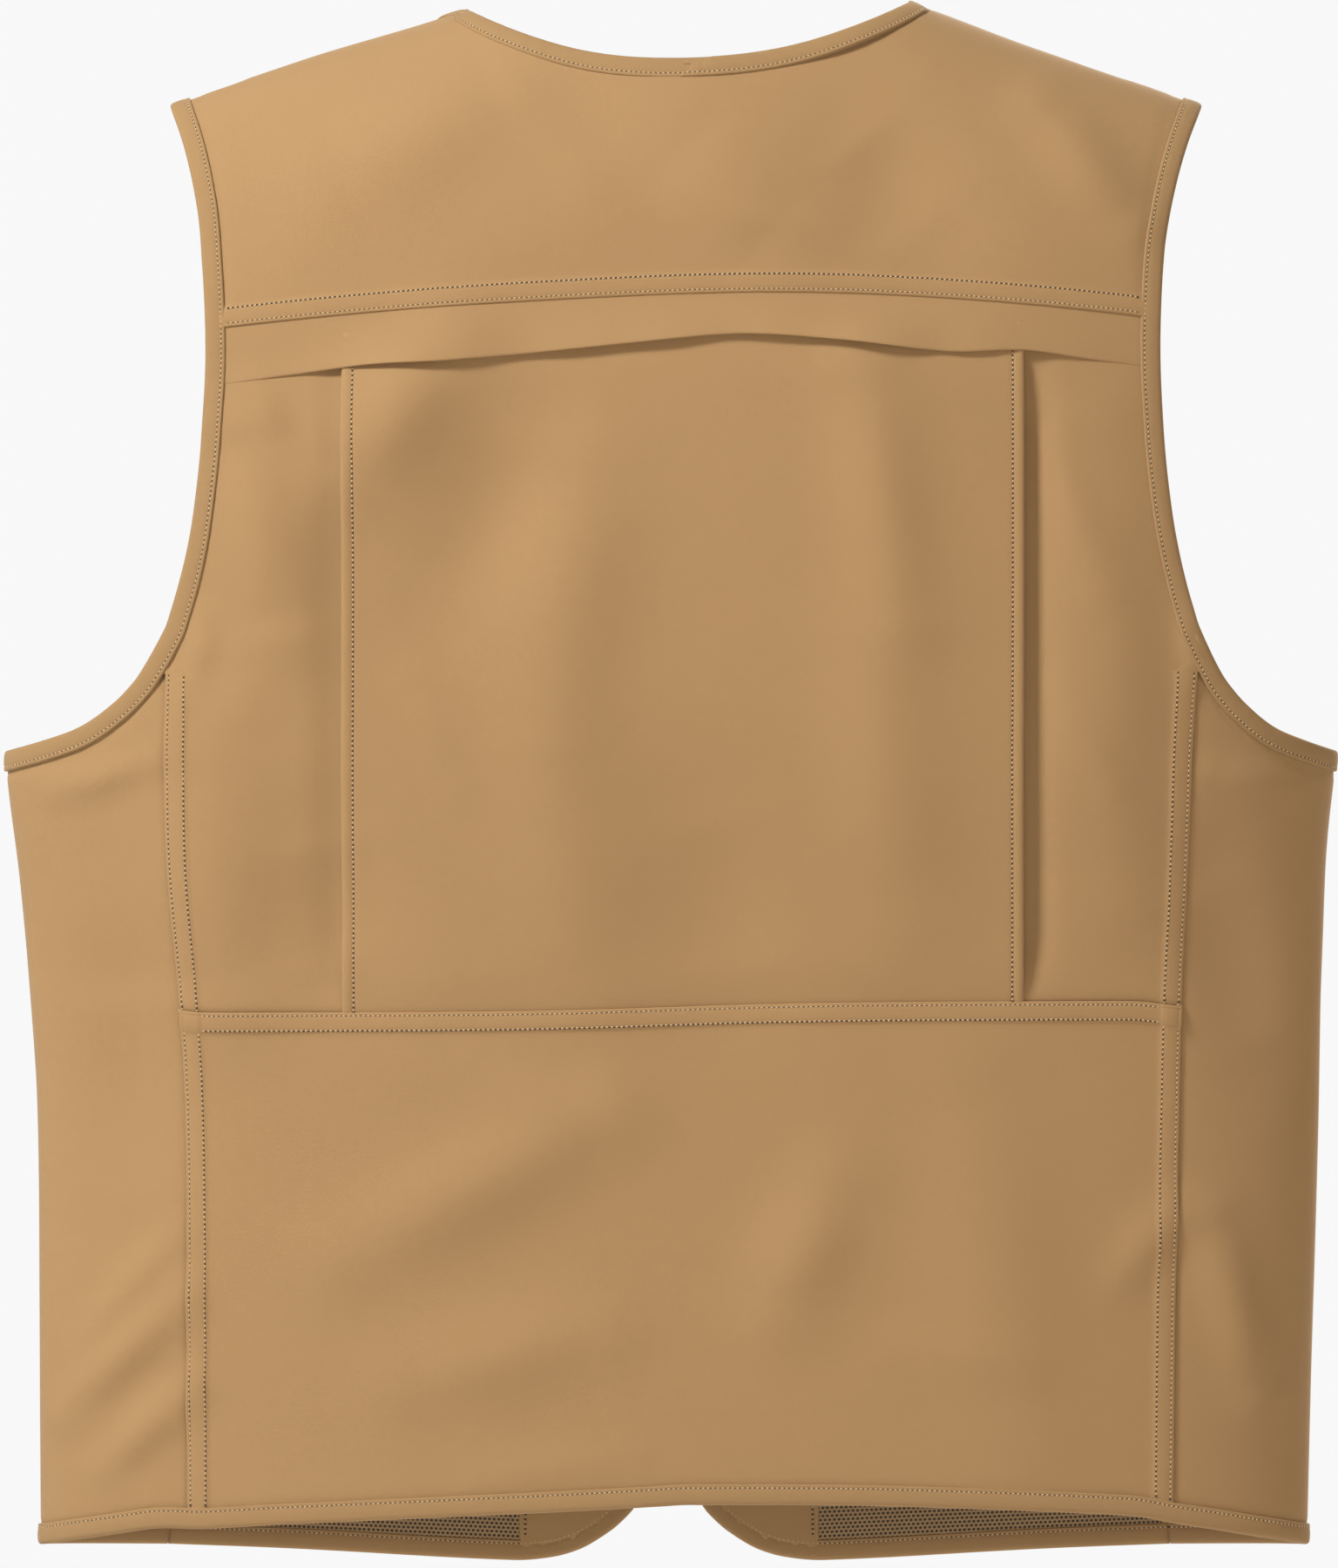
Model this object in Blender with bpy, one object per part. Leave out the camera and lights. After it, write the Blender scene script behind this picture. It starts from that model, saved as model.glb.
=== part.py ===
"""A sleeveless utility vest for fishing, worn open, standing upright as on a body.

Metres, +Z up. The wearer faces -Y, so the back is at +Y and the wearer's left is at +X. The origin is on
the centre line, at the height where the shoulders meet the neck. Every cloth piece lies on one body
surface, at an offset outward from it, and every piece of the wearer's right is the left one mirrored.
"""

import math

import bmesh
import bpy
from mathutils import Vector

MM = 0.001
GAP = 0.3 * MM

# The body surface.
SHOULDER_TIP_X = 0.231
SHOULDER_NECK_Z = -0.003
SHOULDER_SLOPE = 0.354
SHOULDER_CROWN = 0.05
NECK_SEAM_X = 0.1067
ROUNDING = 0.12
SIDE_POWER = 2.6
BACK_POWER = 0.5556
FRONT_DEPTH = 0.066
HALF_WIDTH = ((-0.69, 0.283), (-0.58, 0.2847), (-0.477, 0.287), (-0.39, 0.292), (-0.345, 0.297))
BACK_DEPTH = ((-0.69, 0.060), (-0.45, 0.060), (-0.30, 0.066), (-0.13, 0.062), (0.02, 0.052))

# The side seam of each front, which is where the fronts swing open.
FRONT_SEAM_X = 0.2255
FRONT_SEAM_Y = 0.044

# Outlines, as (x, z) of the outer edge unless said otherwise.
NECK_X = 0.099
NECK_DROP = 0.024
NECK_POWER = 2.2
V_EDGE = (
    (-0.205, 0.0090),
    (-0.15, 0.036),
    (-0.10, 0.061),
    (-0.05, 0.083),
    (-0.015, 0.096),
    (0.0, 0.099),
)
ARMHOLE_BACK = (
    (-0.293, 0.2375),
    (-0.277, 0.2305),
    (-0.247, 0.2223),
    (-0.2235, 0.218),
    (-0.191, 0.2146),
    (-0.15, 0.2132),
    (-0.105, 0.2155),
    (-0.082, 0.2194),
    (-0.062, 0.2247),
    (-0.045, 0.231),
)
ARMHOLE_FRONT = (
    (-0.2905, 0.2255),
    (-0.25, 0.209),
    (-0.205, 0.2015),
    (-0.165, 0.200),
    (-0.125, 0.2045),
    (-0.085, 0.2145),
    (-0.062, 0.2235),
    (-0.045, 0.231),
)
UNDERARM_BACK = (
    (0.2375, -0.293),
    (0.249, -0.308),
    (0.259, -0.317),
    (0.268, -0.323),
    (0.2824, -0.3285),
    (0.297, -0.333),
)
UNDERARM_FRONT = ((0.2255, -0.2905), (0.24, -0.3075), (0.255, -0.3185), (0.272, -0.3275), (0.297, -0.333))
HEM_BACK = ((0.0, -0.670), (0.11, -0.6733), (0.22, -0.679), (0.26, -0.685), (0.284, -0.689))
HEM_FRONT_SIDE = ((0.2255, -0.690), (0.284, -0.689))
FRONT_EDGE = (
    (0.0112, -0.2015),
    (0.0088, -0.209),
    (0.0088, -0.40),
    (0.0085, -0.60),
    (0.0095, -0.655),
    (0.0145, -0.6725),
    (0.0225, -0.682),
)
FRONT_HEM = (
    (0.0225, -0.682),
    (0.031, -0.688),
    (0.040, -0.693),
    (0.052, -0.6965),
    (0.070, -0.698),
    (0.17, -0.6925),
    (0.2240, -0.690),
)
PRINCESS_SEAM = (
    (-0.668, 0.221),
    (-0.58, 0.2216),
    (-0.504, 0.2228),
    (-0.45, 0.2245),
    (-0.385, 0.2285),
    (-0.304, 0.231),
)

# Heights of the seams and edges that run across.
YOKE_SEAM_Z = -0.128
YOKE_SEAM_DIP = 0.012
FLAP_EDGE_Z = -0.149
FLAP_EDGE_DIP = 0.016
CROSS_HALF = 0.204
WAIST_Z = -0.448
FRONT_SPLIT_Z = -0.200
SHOULDER_SEAM = -0.25
PLEAT_FOLD_X = 0.152
PLEAT_DEPTH = 0.016

# Cloth.
CLOTH = 1.6 * MM
BINDING = 9.4 * MM
BINDING_LOW = -1.5 * MM
BINDING_HIGH = 2.2 * MM
EDGE_INSET = BINDING + 1.0 * MM
SEAM_GAP = 0.8 * MM
HINGE_GAP = 1.2 * MM
FACING_X = 0.067

# Pockets: left, right, top and bottom on the wearer's left front, and depth.
CHEST_POCKET = dict(x0=0.045, x1=0.160, z0=-0.360, z1=-0.240, depth=10 * MM, drop=9 * MM, flap=0.046)
CARGO_POCKET = dict(x0=0.045, x1=0.203, z0=-0.645, z1=-0.455, depth=20 * MM, drop=17 * MM, flap=0.062)
POUCH_WALL = 1.2 * MM
FLAP_CLOTH = 1.4 * MM
FLAP_STAND = 3.4 * MM
FLAP_ROOM = 2.4 * MM
FLAP_SIDE = 3 * MM
SNAP_RADIUS = 6.5 * MM
STUD_RADIUS = 4.5 * MM

# Zip.
CHAIN_LEFT = (0.0035, 0.0065)
CHAIN_RIGHT = (0.0025, 0.0055)
CHAIN_HALF_DEPTH = 1.25 * MM
ZIP_TOP_Z = -0.216
ZIP_FOOT_Z = -0.634
TAPE_LOW = -3.0 * MM
TAPE_CLOTH = 0.8 * MM
SLIDER_LENGTH = 12 * MM

# D-ring and hang loop.
RING_WIDTH = 25 * MM
RING_HEIGHT = 16 * MM
RING_WIRE = 1.3 * MM
RING_X = 0.118
RING_Z = -0.2165
TAB_HALF_WIDTH = 8.5 * MM
TAB_TOP = 12 * MM

KHAKI = (0.42, 0.27, 0.12)
KHAKI_DARK = (0.36, 0.23, 0.10)
MESH_TAN = (0.40, 0.28, 0.15)
BRASS = (0.33, 0.24, 0.12)
NYLON = (0.30, 0.20, 0.09)
LABEL = (0.62, 0.52, 0.38)


def clear_scene():
    for obj in list(bpy.data.objects):
        bpy.data.objects.remove(obj, do_unlink=True)


def material(name, colour, roughness, metallic=0.0):
    made = bpy.data.materials.new(name)
    made.use_nodes = True
    shader = made.node_tree.nodes["Principled BSDF"]
    shader.inputs["Base Color"].default_value = (*colour, 1)
    shader.inputs["Roughness"].default_value = roughness
    shader.inputs["Metallic"].default_value = metallic
    return made


def smooth(points, at):
    """The value at a place on a smooth curve through (place, value) points in rising order."""
    places = [p[0] for p in points]
    values = [p[1] for p in points]
    if at <= places[0]:
        return values[0]
    if at >= places[-1]:
        return values[-1]
    left = next(k for k in range(len(places) - 1) if at <= places[k + 1])
    span = places[left + 1] - places[left]
    t = (at - places[left]) / span

    def slope(k):
        low, high = max(k - 1, 0), min(k + 1, len(places) - 1)
        return (values[high] - values[low]) / (places[high] - places[low]) * span

    return (
        (2 * t**3 - 3 * t**2 + 1) * values[left]
        + (t**3 - 2 * t**2 + t) * slope(left)
        + (3 * t**2 - 2 * t**3) * values[left + 1]
        + (t**3 - t**2) * slope(left + 1)
    )


def along(points, share):
    """The point at a share of the length of a smooth line through the points."""
    lengths = [0.0]
    for a, b in zip(points, points[1:]):
        lengths.append(lengths[-1] + math.dist(a, b))
    return [smooth(list(zip(lengths, column)), share * lengths[-1]) for column in zip(*points)]


def spread(first, last, count):
    return [first + (last - first) * k / count for k in range(count + 1)]


# ---- The body surface, and places on it ----


def half_width(z):
    return smooth(HALF_WIDTH, z)


def shoulder(x):
    """The height of the shoulder line."""
    run = math.hypot(x, SHOULDER_CROWN) - math.hypot(NECK_SEAM_X, SHOULDER_CROWN)
    return SHOULDER_NECK_Z - SHOULDER_SLOPE * run


def depth_and_power(z, back):
    """How deep the section is, and the power that rounds it."""
    if back:
        return smooth(BACK_DEPTH, z), BACK_POWER
    share = (FRONT_SEAM_X / half_width(z)) ** SIDE_POWER
    return FRONT_DEPTH, math.log(FRONT_SEAM_Y / FRONT_DEPTH) / math.log(1 - share)


def level(x, z, side):
    """How far round the shoulder a height is: 0 on the shoulder line, 1 at the back's full depth."""
    drop = max(shoulder(x) - z, 0.0)
    if drop < ROUNDING:
        return side * math.acos(1 - drop / ROUNDING) / (math.pi / 2)
    return side * (1 + (drop - ROUNDING) / (ROUNDING * math.pi / 2))


def body(x, turn):
    """The surface at x: turn is the level, above 0 on the back and below 0 on the front."""
    angle = min(abs(turn), 1) * math.pi / 2
    z = shoulder(x) - ROUNDING * (1 - math.cos(angle)) - max(abs(turn) - 1, 0) * ROUNDING * math.pi / 2
    depth, power = depth_and_power(z, turn > 0)
    fullness = max(1 - (abs(x) / half_width(z)) ** SIDE_POWER, 0) ** power
    return Vector((x, math.copysign(depth * fullness * math.sin(angle), turn), z))


def flank(angle, z):
    """The surface round the side: the angle is 0 at the centre back, a half turn at the centre front."""
    depth, power = depth_and_power(z, angle < math.pi / 2)
    x = half_width(z) * math.sin(angle) ** (2 / SIDE_POWER)
    cosine = math.cos(angle)
    return Vector((x, math.copysign(depth * abs(cosine) ** (2 * power), cosine), z))


STEP = 1e-3


def off_body(x, turn, out=0.0):
    """The point this far outward from the body surface."""
    across = body(x + STEP, turn) - body(x - STEP, turn)
    down = body(x, turn + STEP) - body(x, turn - STEP)
    return body(x, turn) + across.cross(down).normalized() * out


def off_flank(angle, z, out=0.0):
    round_side = flank(angle + STEP, z) - flank(angle - STEP, z)
    up = flank(angle, z + STEP) - flank(angle, z - STEP)
    return flank(angle, z) + up.cross(round_side).normalized() * out


def on_back(x, z):
    return x, level(x, z, 1)


def on_front(x, z):
    return x, level(x, z, -1)


def flank_angle(x, z, back):
    share = min((x / half_width(z)) ** (SIDE_POWER / 2), 1.0)
    turn = math.asin(share)
    return turn if back else math.pi - turn


def inset(chart, route, at, distance):
    """The place this far from a route on the surface, towards the cloth that the route edges."""
    first, second = route(at)
    here = chart(first, second)
    ahead = chart(*route(at + STEP)) - chart(*route(at - STEP))
    along_first = (chart(first + STEP, second) - chart(first - STEP, second)) / (2 * STEP)
    along_second = (chart(first, second + STEP) - chart(first, second - STEP)) / (2 * STEP)
    normal = along_first.cross(along_second).normalized()
    outward = chart(first, second, STEP) - here
    if normal.dot(outward) < 0:
        normal.negate()
    move = normal.cross(ahead).normalized() * distance
    a, b, c = along_first.dot(along_first), along_first.dot(along_second), along_second.dot(along_second)
    p, q = along_first.dot(move), along_second.dot(move)
    scale = a * c - b * b
    return first + (c * p - b * q) / scale, second + (a * q - b * p) / scale


# ---- Edges, each a route over the surface ----


def neck_z(x):
    return -NECK_DROP * (1 - min(abs(x) / NECK_X, 1) ** NECK_POWER)


def neck_back(at):
    """Back neckline, from 0 at the centre to 1 at the shoulder line."""
    x = NECK_X * math.sin(at * math.pi / 2)
    return on_back(x, neck_z(x))


def by_turn(table, turn, x_guess):
    """The x at which an edge, given as x by height, has this turn."""
    x = x_guess
    for _ in range(4):
        x = smooth(table, body(x, turn).z)
    return x, turn


def neck_front(turn):
    return by_turn(V_EDGE, turn, NECK_X)


def armhole(turn):
    return by_turn(ARMHOLE_BACK if turn > 0 else ARMHOLE_FRONT, turn, SHOULDER_TIP_X)


def underarm(angle):
    """Armhole edge round the side, as (angle, z)."""
    x = half_width(-0.345) * math.sin(angle) ** (2 / SIDE_POWER)
    table = UNDERARM_BACK if angle < math.pi / 2 else UNDERARM_FRONT
    return angle, smooth(table, x)


def side_hem(angle):
    x = half_width(-0.69) * math.sin(angle) ** (2 / SIDE_POWER)
    table = HEM_BACK if angle < math.pi / 2 else HEM_FRONT_SIDE
    return angle, smooth(table, x)


def back_hem(x):
    return on_back(x, smooth(HEM_BACK, abs(x)))


def front_edge(share):
    return on_front(*along(FRONT_EDGE, share))


def front_hem(share):
    return on_front(*along(FRONT_HEM, share))


def yoke_seam(x):
    return YOKE_SEAM_Z - YOKE_SEAM_DIP * (x / CROSS_HALF) ** 2


def flap_edge(x):
    return FLAP_EDGE_Z - FLAP_EDGE_DIP * (x / CROSS_HALF) ** 2


def inset_by_turn(route, stops, distance):
    """Where the cloth ends beside an edge, as (turn, x) in rising order."""
    return sorted((turn, x) for x, turn in (inset(off_body, route, at, distance) for at in stops))


def inset_by_height(table):
    """The same as (z, x) in rising order."""
    return sorted((body(x, turn).z, x) for turn, x in table)


# ---- Solids ----


def add_solid(name, points, faces, look, hinge=None, side=1):
    mesh = bpy.data.meshes.new(name)
    origin = Vector(hinge.location) if hinge else Vector()
    mesh.from_pydata([Vector((p.x * side, p.y, p.z)) - origin for p in points], [], faces)
    shape = bmesh.new()
    shape.from_mesh(mesh)
    bmesh.ops.recalc_face_normals(shape, faces=shape.faces)
    shape.to_mesh(mesh)
    shape.free()
    mesh.materials.append(look)
    obj = bpy.data.objects.new(name, mesh)
    bpy.context.scene.collection.objects.link(obj)
    obj.parent = hinge
    return obj


def shell(name, inner, outer, look, hinge=None, side=1):
    """A closed solid between two grids of points with the same rows and columns."""
    rows, columns = len(inner), len(inner[0])
    points = [p for grid in (inner, outer) for row in grid for p in row]

    def at(layer, row, column):
        return (layer * rows + row) * columns + column

    faces = []
    for r in range(rows - 1):
        for c in range(columns - 1):
            faces.append([at(0, r, c), at(0, r + 1, c), at(0, r + 1, c + 1), at(0, r, c + 1)])
            faces.append([at(1, r, c), at(1, r, c + 1), at(1, r + 1, c + 1), at(1, r + 1, c)])
    for r in range(rows - 1):
        for c in (0, columns - 1):
            faces.append([at(0, r, c), at(0, r + 1, c), at(1, r + 1, c), at(1, r, c)])
    for c in range(columns - 1):
        for r in (0, rows - 1):
            faces.append([at(0, r, c), at(0, r, c + 1), at(1, r, c + 1), at(1, r, c)])
    return add_solid(name, points, faces, look, hinge, side)


def coons(bottom, top, left, right, u, v):
    """The place inside four edges, each given as a function from 0 to 1."""
    corners = bottom(0), bottom(1), top(0), top(1)
    return [
        (1 - v) * bottom(u)[k]
        + v * top(u)[k]
        + (1 - u) * left(v)[k]
        + u * right(v)[k]
        - (1 - u) * (1 - v) * corners[0][k]
        - u * (1 - v) * corners[1][k]
        - (1 - u) * v * corners[2][k]
        - u * v * corners[3][k]
        for k in (0, 1)
    ]


def patch(name, edges, across, down, low, high, look, chart=off_body, hinge=None, side=1):
    """A cloth piece inside four edges, between two offsets from the surface."""
    columns, rows = (spread(0, 1, n) if isinstance(n, int) else n for n in (across, down))
    places = [[coons(*edges, u, v) for u in columns] for v in rows]
    inner, outer = ([[chart(*place, out) for place in row] for row in places] for out in (low, high))
    return shell(name, inner, outer, look, hinge, side)


def rows_of(chart, route, stops, width, low, high):
    """Inner and outer rows of a binding along one route."""
    pairs = [(route(at), inset(chart, route, at, width)) for at in stops]
    inner = [[chart(*place, low) for place in pair] for pair in pairs]
    outer = [[chart(*place, high) for place in pair] for pair in pairs]
    return inner, outer


def joined(*parts):
    """Rows of several stretches put end to end."""
    return [row for part in parts for row in part[0]], [row for part in parts for row in part[1]]


def mirrored(part):
    return [[[Vector((-p.x, p.y, p.z)) for p in row] for row in reversed(grid)] for grid in part]


def bar(name, sections, look, hinge=None, side=1, closed=False):
    """A solid through sections of equal point counts, capped at both ends unless it closes on itself."""
    count = len(sections[0])
    points = [p for section in sections for p in section]
    faces = []
    total = len(sections)
    for s in range(total if closed else total - 1):
        after = (s + 1) % total
        for k in range(count):
            nxt = (k + 1) % count
            faces.append([s * count + k, s * count + nxt, after * count + nxt, after * count + k])
    if not closed:
        faces.append(list(range(count)))
        faces.append([(total - 1) * count + k for k in range(count)])
    return add_solid(name, points, faces, look, hinge, side)


def disc(name, centre, axis, radius, height, look, hinge=None, side=1, sides=14):
    """A low round cap along an axis."""
    axis = axis.normalized()
    first = axis.orthogonal().normalized()
    second = axis.cross(first)
    rings = ((0.0, 1.0), (0.6, 1.0), (1.0, 0.8))
    sections = []
    for lift, reach in rings:
        ring = []
        for k in range(sides):
            turn = 2 * math.pi * k / sides
            spoke = (first * math.cos(turn) + second * math.sin(turn)) * radius * reach
            ring.append(centre + axis * height * lift + spoke)
        sections.append(ring)
    return bar(name, sections, look, hinge, side)


def add_hinge(name, place):
    """An empty on a joint's axis, which the pieces that turn about it are parented to."""
    empty = bpy.data.objects.new(name, None)
    empty.location = place
    empty.empty_display_size = 0.02
    bpy.context.scene.collection.objects.link(empty)
    return empty


# ---- Back ----


def back_side(z):
    """Where the cloth of the back ends at the side: the princess seam, and above it the armhole."""
    if z < PRINCESS_SEAM[-1][0]:
        return smooth(PRINCESS_SEAM, z) - SEAM_GAP / 2
    return smooth(ARMHOLE_BACK_INSET, z)


def make_yoke(look):
    side_z = yoke_seam(CROSS_HALF)
    side_x = smooth(ARMHOLE_BACK_INSET, side_z)
    seam_ends = [on_back(sign * side_x, side_z) for sign in (-1, 1)]

    def bottom(u):
        x = seam_ends[0][0] + (seam_ends[1][0] - seam_ends[0][0]) * u
        return on_back(x, yoke_seam(x))

    def edge(v):
        turn = seam_ends[1][1] + (SHOULDER_SEAM - seam_ends[1][1]) * v
        return smooth(ARMHOLE_BACK_TURNS if turn > 0 else ARMHOLE_FRONT_TURNS, turn), turn

    def neck(at):
        """From 0 at the centre back to 1 at the front shoulder seam."""
        if at < 0.8:
            return inset(off_body, neck_back, at / 0.8 * 0.98, EDGE_INSET + 3 * GAP)
        turn = SHOULDER_SEAM * (at - 0.8) / 0.2
        return smooth(NECK_FRONT_TURNS, turn), turn

    def right_top(u):
        """From 0 at the centre back to 1 at the armhole, along the neck and the shoulder seam."""
        if u <= 0.6:
            return neck(u / 0.6)
        start, end = neck(1)[0], edge(1)[0]
        return start + (end - start) * (u - 0.6) / 0.4, SHOULDER_SEAM

    def top(u):
        x, turn = right_top(abs(2 * u - 1))
        return math.copysign(x, u - 0.5), turn

    def left(v):
        x, turn = edge(v)
        return -x, turn

    half = [0.0, 0.12, 0.24, 0.36, 0.48, 0.54, 0.6, 0.7, 0.85, 1.0]
    columns = [0.5 - h / 2 for h in reversed(half)] + [0.5 + h / 2 for h in half[1:]]
    patch("yoke", (bottom, top, left, edge), columns, 9, 0, CLOTH, look)


def make_flap(look, hinge):
    end = smooth(ARMHOLE_BACK_INSET, -0.15) - 0.5 * MM
    heights = spread(0, 1, 3)
    offsets = (4.1 * MM, 4.1 * MM, 3.9 * MM, 2.1 * MM)

    def grid(extra):
        rows = []
        for v, out in zip(heights, offsets):
            row = []
            for x in spread(-end, end, 14):
                z = flap_edge(x) + (yoke_seam(x) - SEAM_GAP - flap_edge(x)) * v
                row.append(off_body(*on_back(x, z), out + extra))
            rows.append(row)
        return rows

    shell("vent_flap", grid(0), grid(CLOTH), look, hinge)


def make_back_panels(look):
    top_z = -7 * MM

    def centre_edge(z_of):
        return lambda u: on_back((2 * u - 1) * PLEAT_FOLD_X, z_of((2 * u - 1) * PLEAT_FOLD_X))

    def centre_side(sign):
        low, high = WAIST_Z + SEAM_GAP / 2, yoke_seam(PLEAT_FOLD_X) + top_z
        return lambda v: on_back(sign * PLEAT_FOLD_X, low + (high - low) * v)

    bottom = centre_edge(lambda x: WAIST_Z + SEAM_GAP / 2)
    top = centre_edge(lambda x: yoke_seam(x) + top_z)
    low = CLOTH + GAP
    edges = (bottom, top, centre_side(-1), centre_side(1))
    patch("back_panel_center", edges, 10, 8, low, low + CLOTH, look)

    for name, side in (("left", 1), ("right", -1)):
        inner_x = PLEAT_FOLD_X - PLEAT_DEPTH
        foot = WAIST_Z + SEAM_GAP / 2

        def head(x):
            return yoke_seam(x) - SEAM_GAP / 2

        def lower(u):
            return on_back(inner_x + (back_side(foot) - inner_x) * u, foot)

        def upper(u):
            x = inner_x + (back_side(head(CROSS_HALF)) - inner_x) * u
            return on_back(x, head(x))

        def inner(v):
            return on_back(inner_x, foot + (head(inner_x) - foot) * v)

        def outer(v):
            z = foot + (head(CROSS_HALF) - foot) * v
            return on_back(back_side(z), z)

        patch(f"back_gusset_{name}", (lower, upper, inner, outer), 4, 13, 0, CLOTH, look, side=side)


def make_lower_panel(look):
    top_z = WAIST_Z - SEAM_GAP / 2

    def foot(x):
        return smooth(HEM_BACK, abs(x)) + EDGE_INSET

    def bottom(u):
        x = (2 * u - 1) * back_side(foot(0.22))
        return on_back(x, foot(x))

    def top(u):
        return on_back((2 * u - 1) * back_side(top_z), top_z)

    def right(v):
        z = foot(0.22) + (top_z - foot(0.22)) * v
        return on_back(back_side(z), z)

    def left(v):
        x, turn = right(v)
        return -x, turn

    patch("back_panel_lower", (bottom, top, left, right), 12, 5, 0, CLOTH, look)


def make_side_panels(look):
    for name, side in (("left", 1), ("right", -1)):
        back_top = smooth(UNDERARM_INSET, flank_angle(PRINCESS_SEAM[-1][1], -0.31, True))
        front_x = FRONT_SEAM_X + HINGE_GAP

        def foot(angle):
            return side_hem(angle)[1] + EDGE_INSET

        def back_edge(v):
            low = smooth(HEM_BACK, 0.22) + EDGE_INSET
            z = low + (back_top - low) * v
            return flank_angle(smooth(PRINCESS_SEAM, z) + SEAM_GAP / 2, z, True), z

        def front_top():
            return smooth(UNDERARM_INSET, flank_angle(front_x, -0.31, False))

        def front_edge_up(v):
            low = smooth(HEM_FRONT_SIDE, front_x) + EDGE_INSET
            z = low + (front_top() - low) * v
            return flank_angle(front_x, z, False), z

        def bottom(u):
            first, last = back_edge(0)[0], front_edge_up(0)[0]
            angle = first + (last - first) * u
            return angle, foot(angle)

        def top(u):
            first, last = back_edge(1), front_edge_up(1)
            angle = first[0] + (last[0] - first[0]) * u
            return angle, smooth(UNDERARM_INSET, angle)

        edges = (bottom, top, back_edge, front_edge_up)
        patch(f"side_panel_{name}", edges, 12, 6, 0, CLOTH, look, off_flank, side=side)


def make_vent_mesh(look):
    half = PLEAT_FOLD_X - PLEAT_DEPTH - 1.0 * MM

    def at(z_of):
        return lambda u: on_back((2 * u - 1) * half, z_of((2 * u - 1) * half))

    def edge(sign):
        return lambda v: on_back(sign * half, yoke_seam(half) - 24 * MM + (24 * MM - SEAM_GAP) * v)

    bottom, top = at(lambda x: yoke_seam(x) - 24 * MM), at(lambda x: yoke_seam(x) - SEAM_GAP)
    patch("vent_mesh", (bottom, top, edge(-1), edge(1)), 10, 1, 0.2 * MM, 1.2 * MM, look)


def make_back_lining(look):
    clear = 3 * MM
    foot = WAIST_Z - 0.205

    def head(x):
        return min(shoulder(x) - 0.036, neck_z(x) - 0.0125)

    def side_x(z):
        return back_side(z) - clear

    corner = head(0.2)

    def bottom(u):
        return on_back((2 * u - 1) * side_x(foot), foot)

    def top(u):
        x = (2 * u - 1) * side_x(corner)
        return on_back(x, head(x))

    def right(v):
        z = foot + (corner - foot) * v
        return on_back(side_x(z), z)

    def left(v):
        x, turn = right(v)
        return -x, turn

    down = [0, 0.25, 0.5, 0.68, 0.8, 0.87, 0.92, 0.96, 1]
    patch("back_lining", (bottom, top, left, right), 12, down, -5 * MM, -4 * MM, look)


# ---- Bindings ----


def make_neck_binding(look):
    last = level(0.012, FRONT_SPLIT_Z + SEAM_GAP, -1)
    back = rows_of(off_body, neck_back, spread(0.001, 0.97, 11), BINDING, BINDING_LOW, BINDING_HIGH)
    down_front = [-0.06, -0.15, *spread(-0.27, last, 9)]
    front = rows_of(off_body, neck_front, down_front, -BINDING, BINDING_LOW, BINDING_HIGH)
    half = joined(back, front)
    start = [grid[1:] for grid in half]
    shell("neck_binding", *joined(mirrored(start), half), look)


def make_armhole_bindings(look, fronts):
    top = FRONT_SPLIT_Z + SEAM_GAP
    split = armhole_turn(ARMHOLE_FRONT, top, -1)
    low_split = armhole_turn(ARMHOLE_FRONT, FRONT_SPLIT_Z - SEAM_GAP, -1)
    seam = armhole_turn(ARMHOLE_FRONT, -0.2885, -1)
    back_end = armhole_turn(ARMHOLE_BACK, -0.285, 1)
    sizes = BINDING, BINDING_LOW, BINDING_HIGH
    first = flank_angle(0.2405, -0.30, True)
    last = flank_angle(FRONT_SEAM_X + 7 * MM, -0.30, False)
    for name, side in (("left", 1), ("right", -1)):
        front = rows_of(off_body, armhole, spread(split, -0.1, 8), *sizes)
        back = rows_of(off_body, armhole, spread(0.1, back_end, 11), *sizes)
        under = rows_of(off_flank, underarm, spread(first, last, 12), *sizes)
        shell(f"armhole_binding_{name}", *joined(front, back, under), look, side=side)
        part = rows_of(off_body, armhole, spread(seam, low_split, 5), *sizes)
        shell(f"front_armhole_binding_{name}", *part, look, fronts[side], side)


def armhole_turn(table, z, side):
    return level(smooth(table, z), z, side)


def make_hem_binding(look):
    front = flank_angle(FRONT_SEAM_X + 1.6 * MM, -0.69, False)
    back = flank_angle(0.232, -0.68, True)
    sizes = BINDING, BINDING_LOW, BINDING_HIGH

    def backwards(at):
        return side_hem(-at)

    def leftwards(at):
        return back_hem(-at)

    under = rows_of(off_flank, backwards, spread(-front, -back, 12), *sizes)
    behind = rows_of(off_body, leftwards, spread(-0.215, 0.0, 7), *sizes)
    half = joined(under, behind)
    start = [grid[:-1] for grid in half]
    shell("hem_binding", *joined(half, mirrored(start)), look)


def make_front_edge_bindings(look, fronts):
    sizes = BINDING, BINDING_LOW, BINDING_HIGH
    edge = rows_of(off_body, front_edge, [0.004, 0.02, 0.3, 0.6, 0.9, 0.945, 0.97, 0.99], *sizes)
    hem = rows_of(off_body, front_hem, [0.015, 0.05, 0.09, 0.13, 0.18, 0.25, 0.45, 0.7, 0.994], *sizes)
    for name, side in (("left", 1), ("right", -1)):
        shell(f"front_edge_binding_{name}", *joined(edge, hem), look, fronts[side], side)


# ---- Fronts ----


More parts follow.
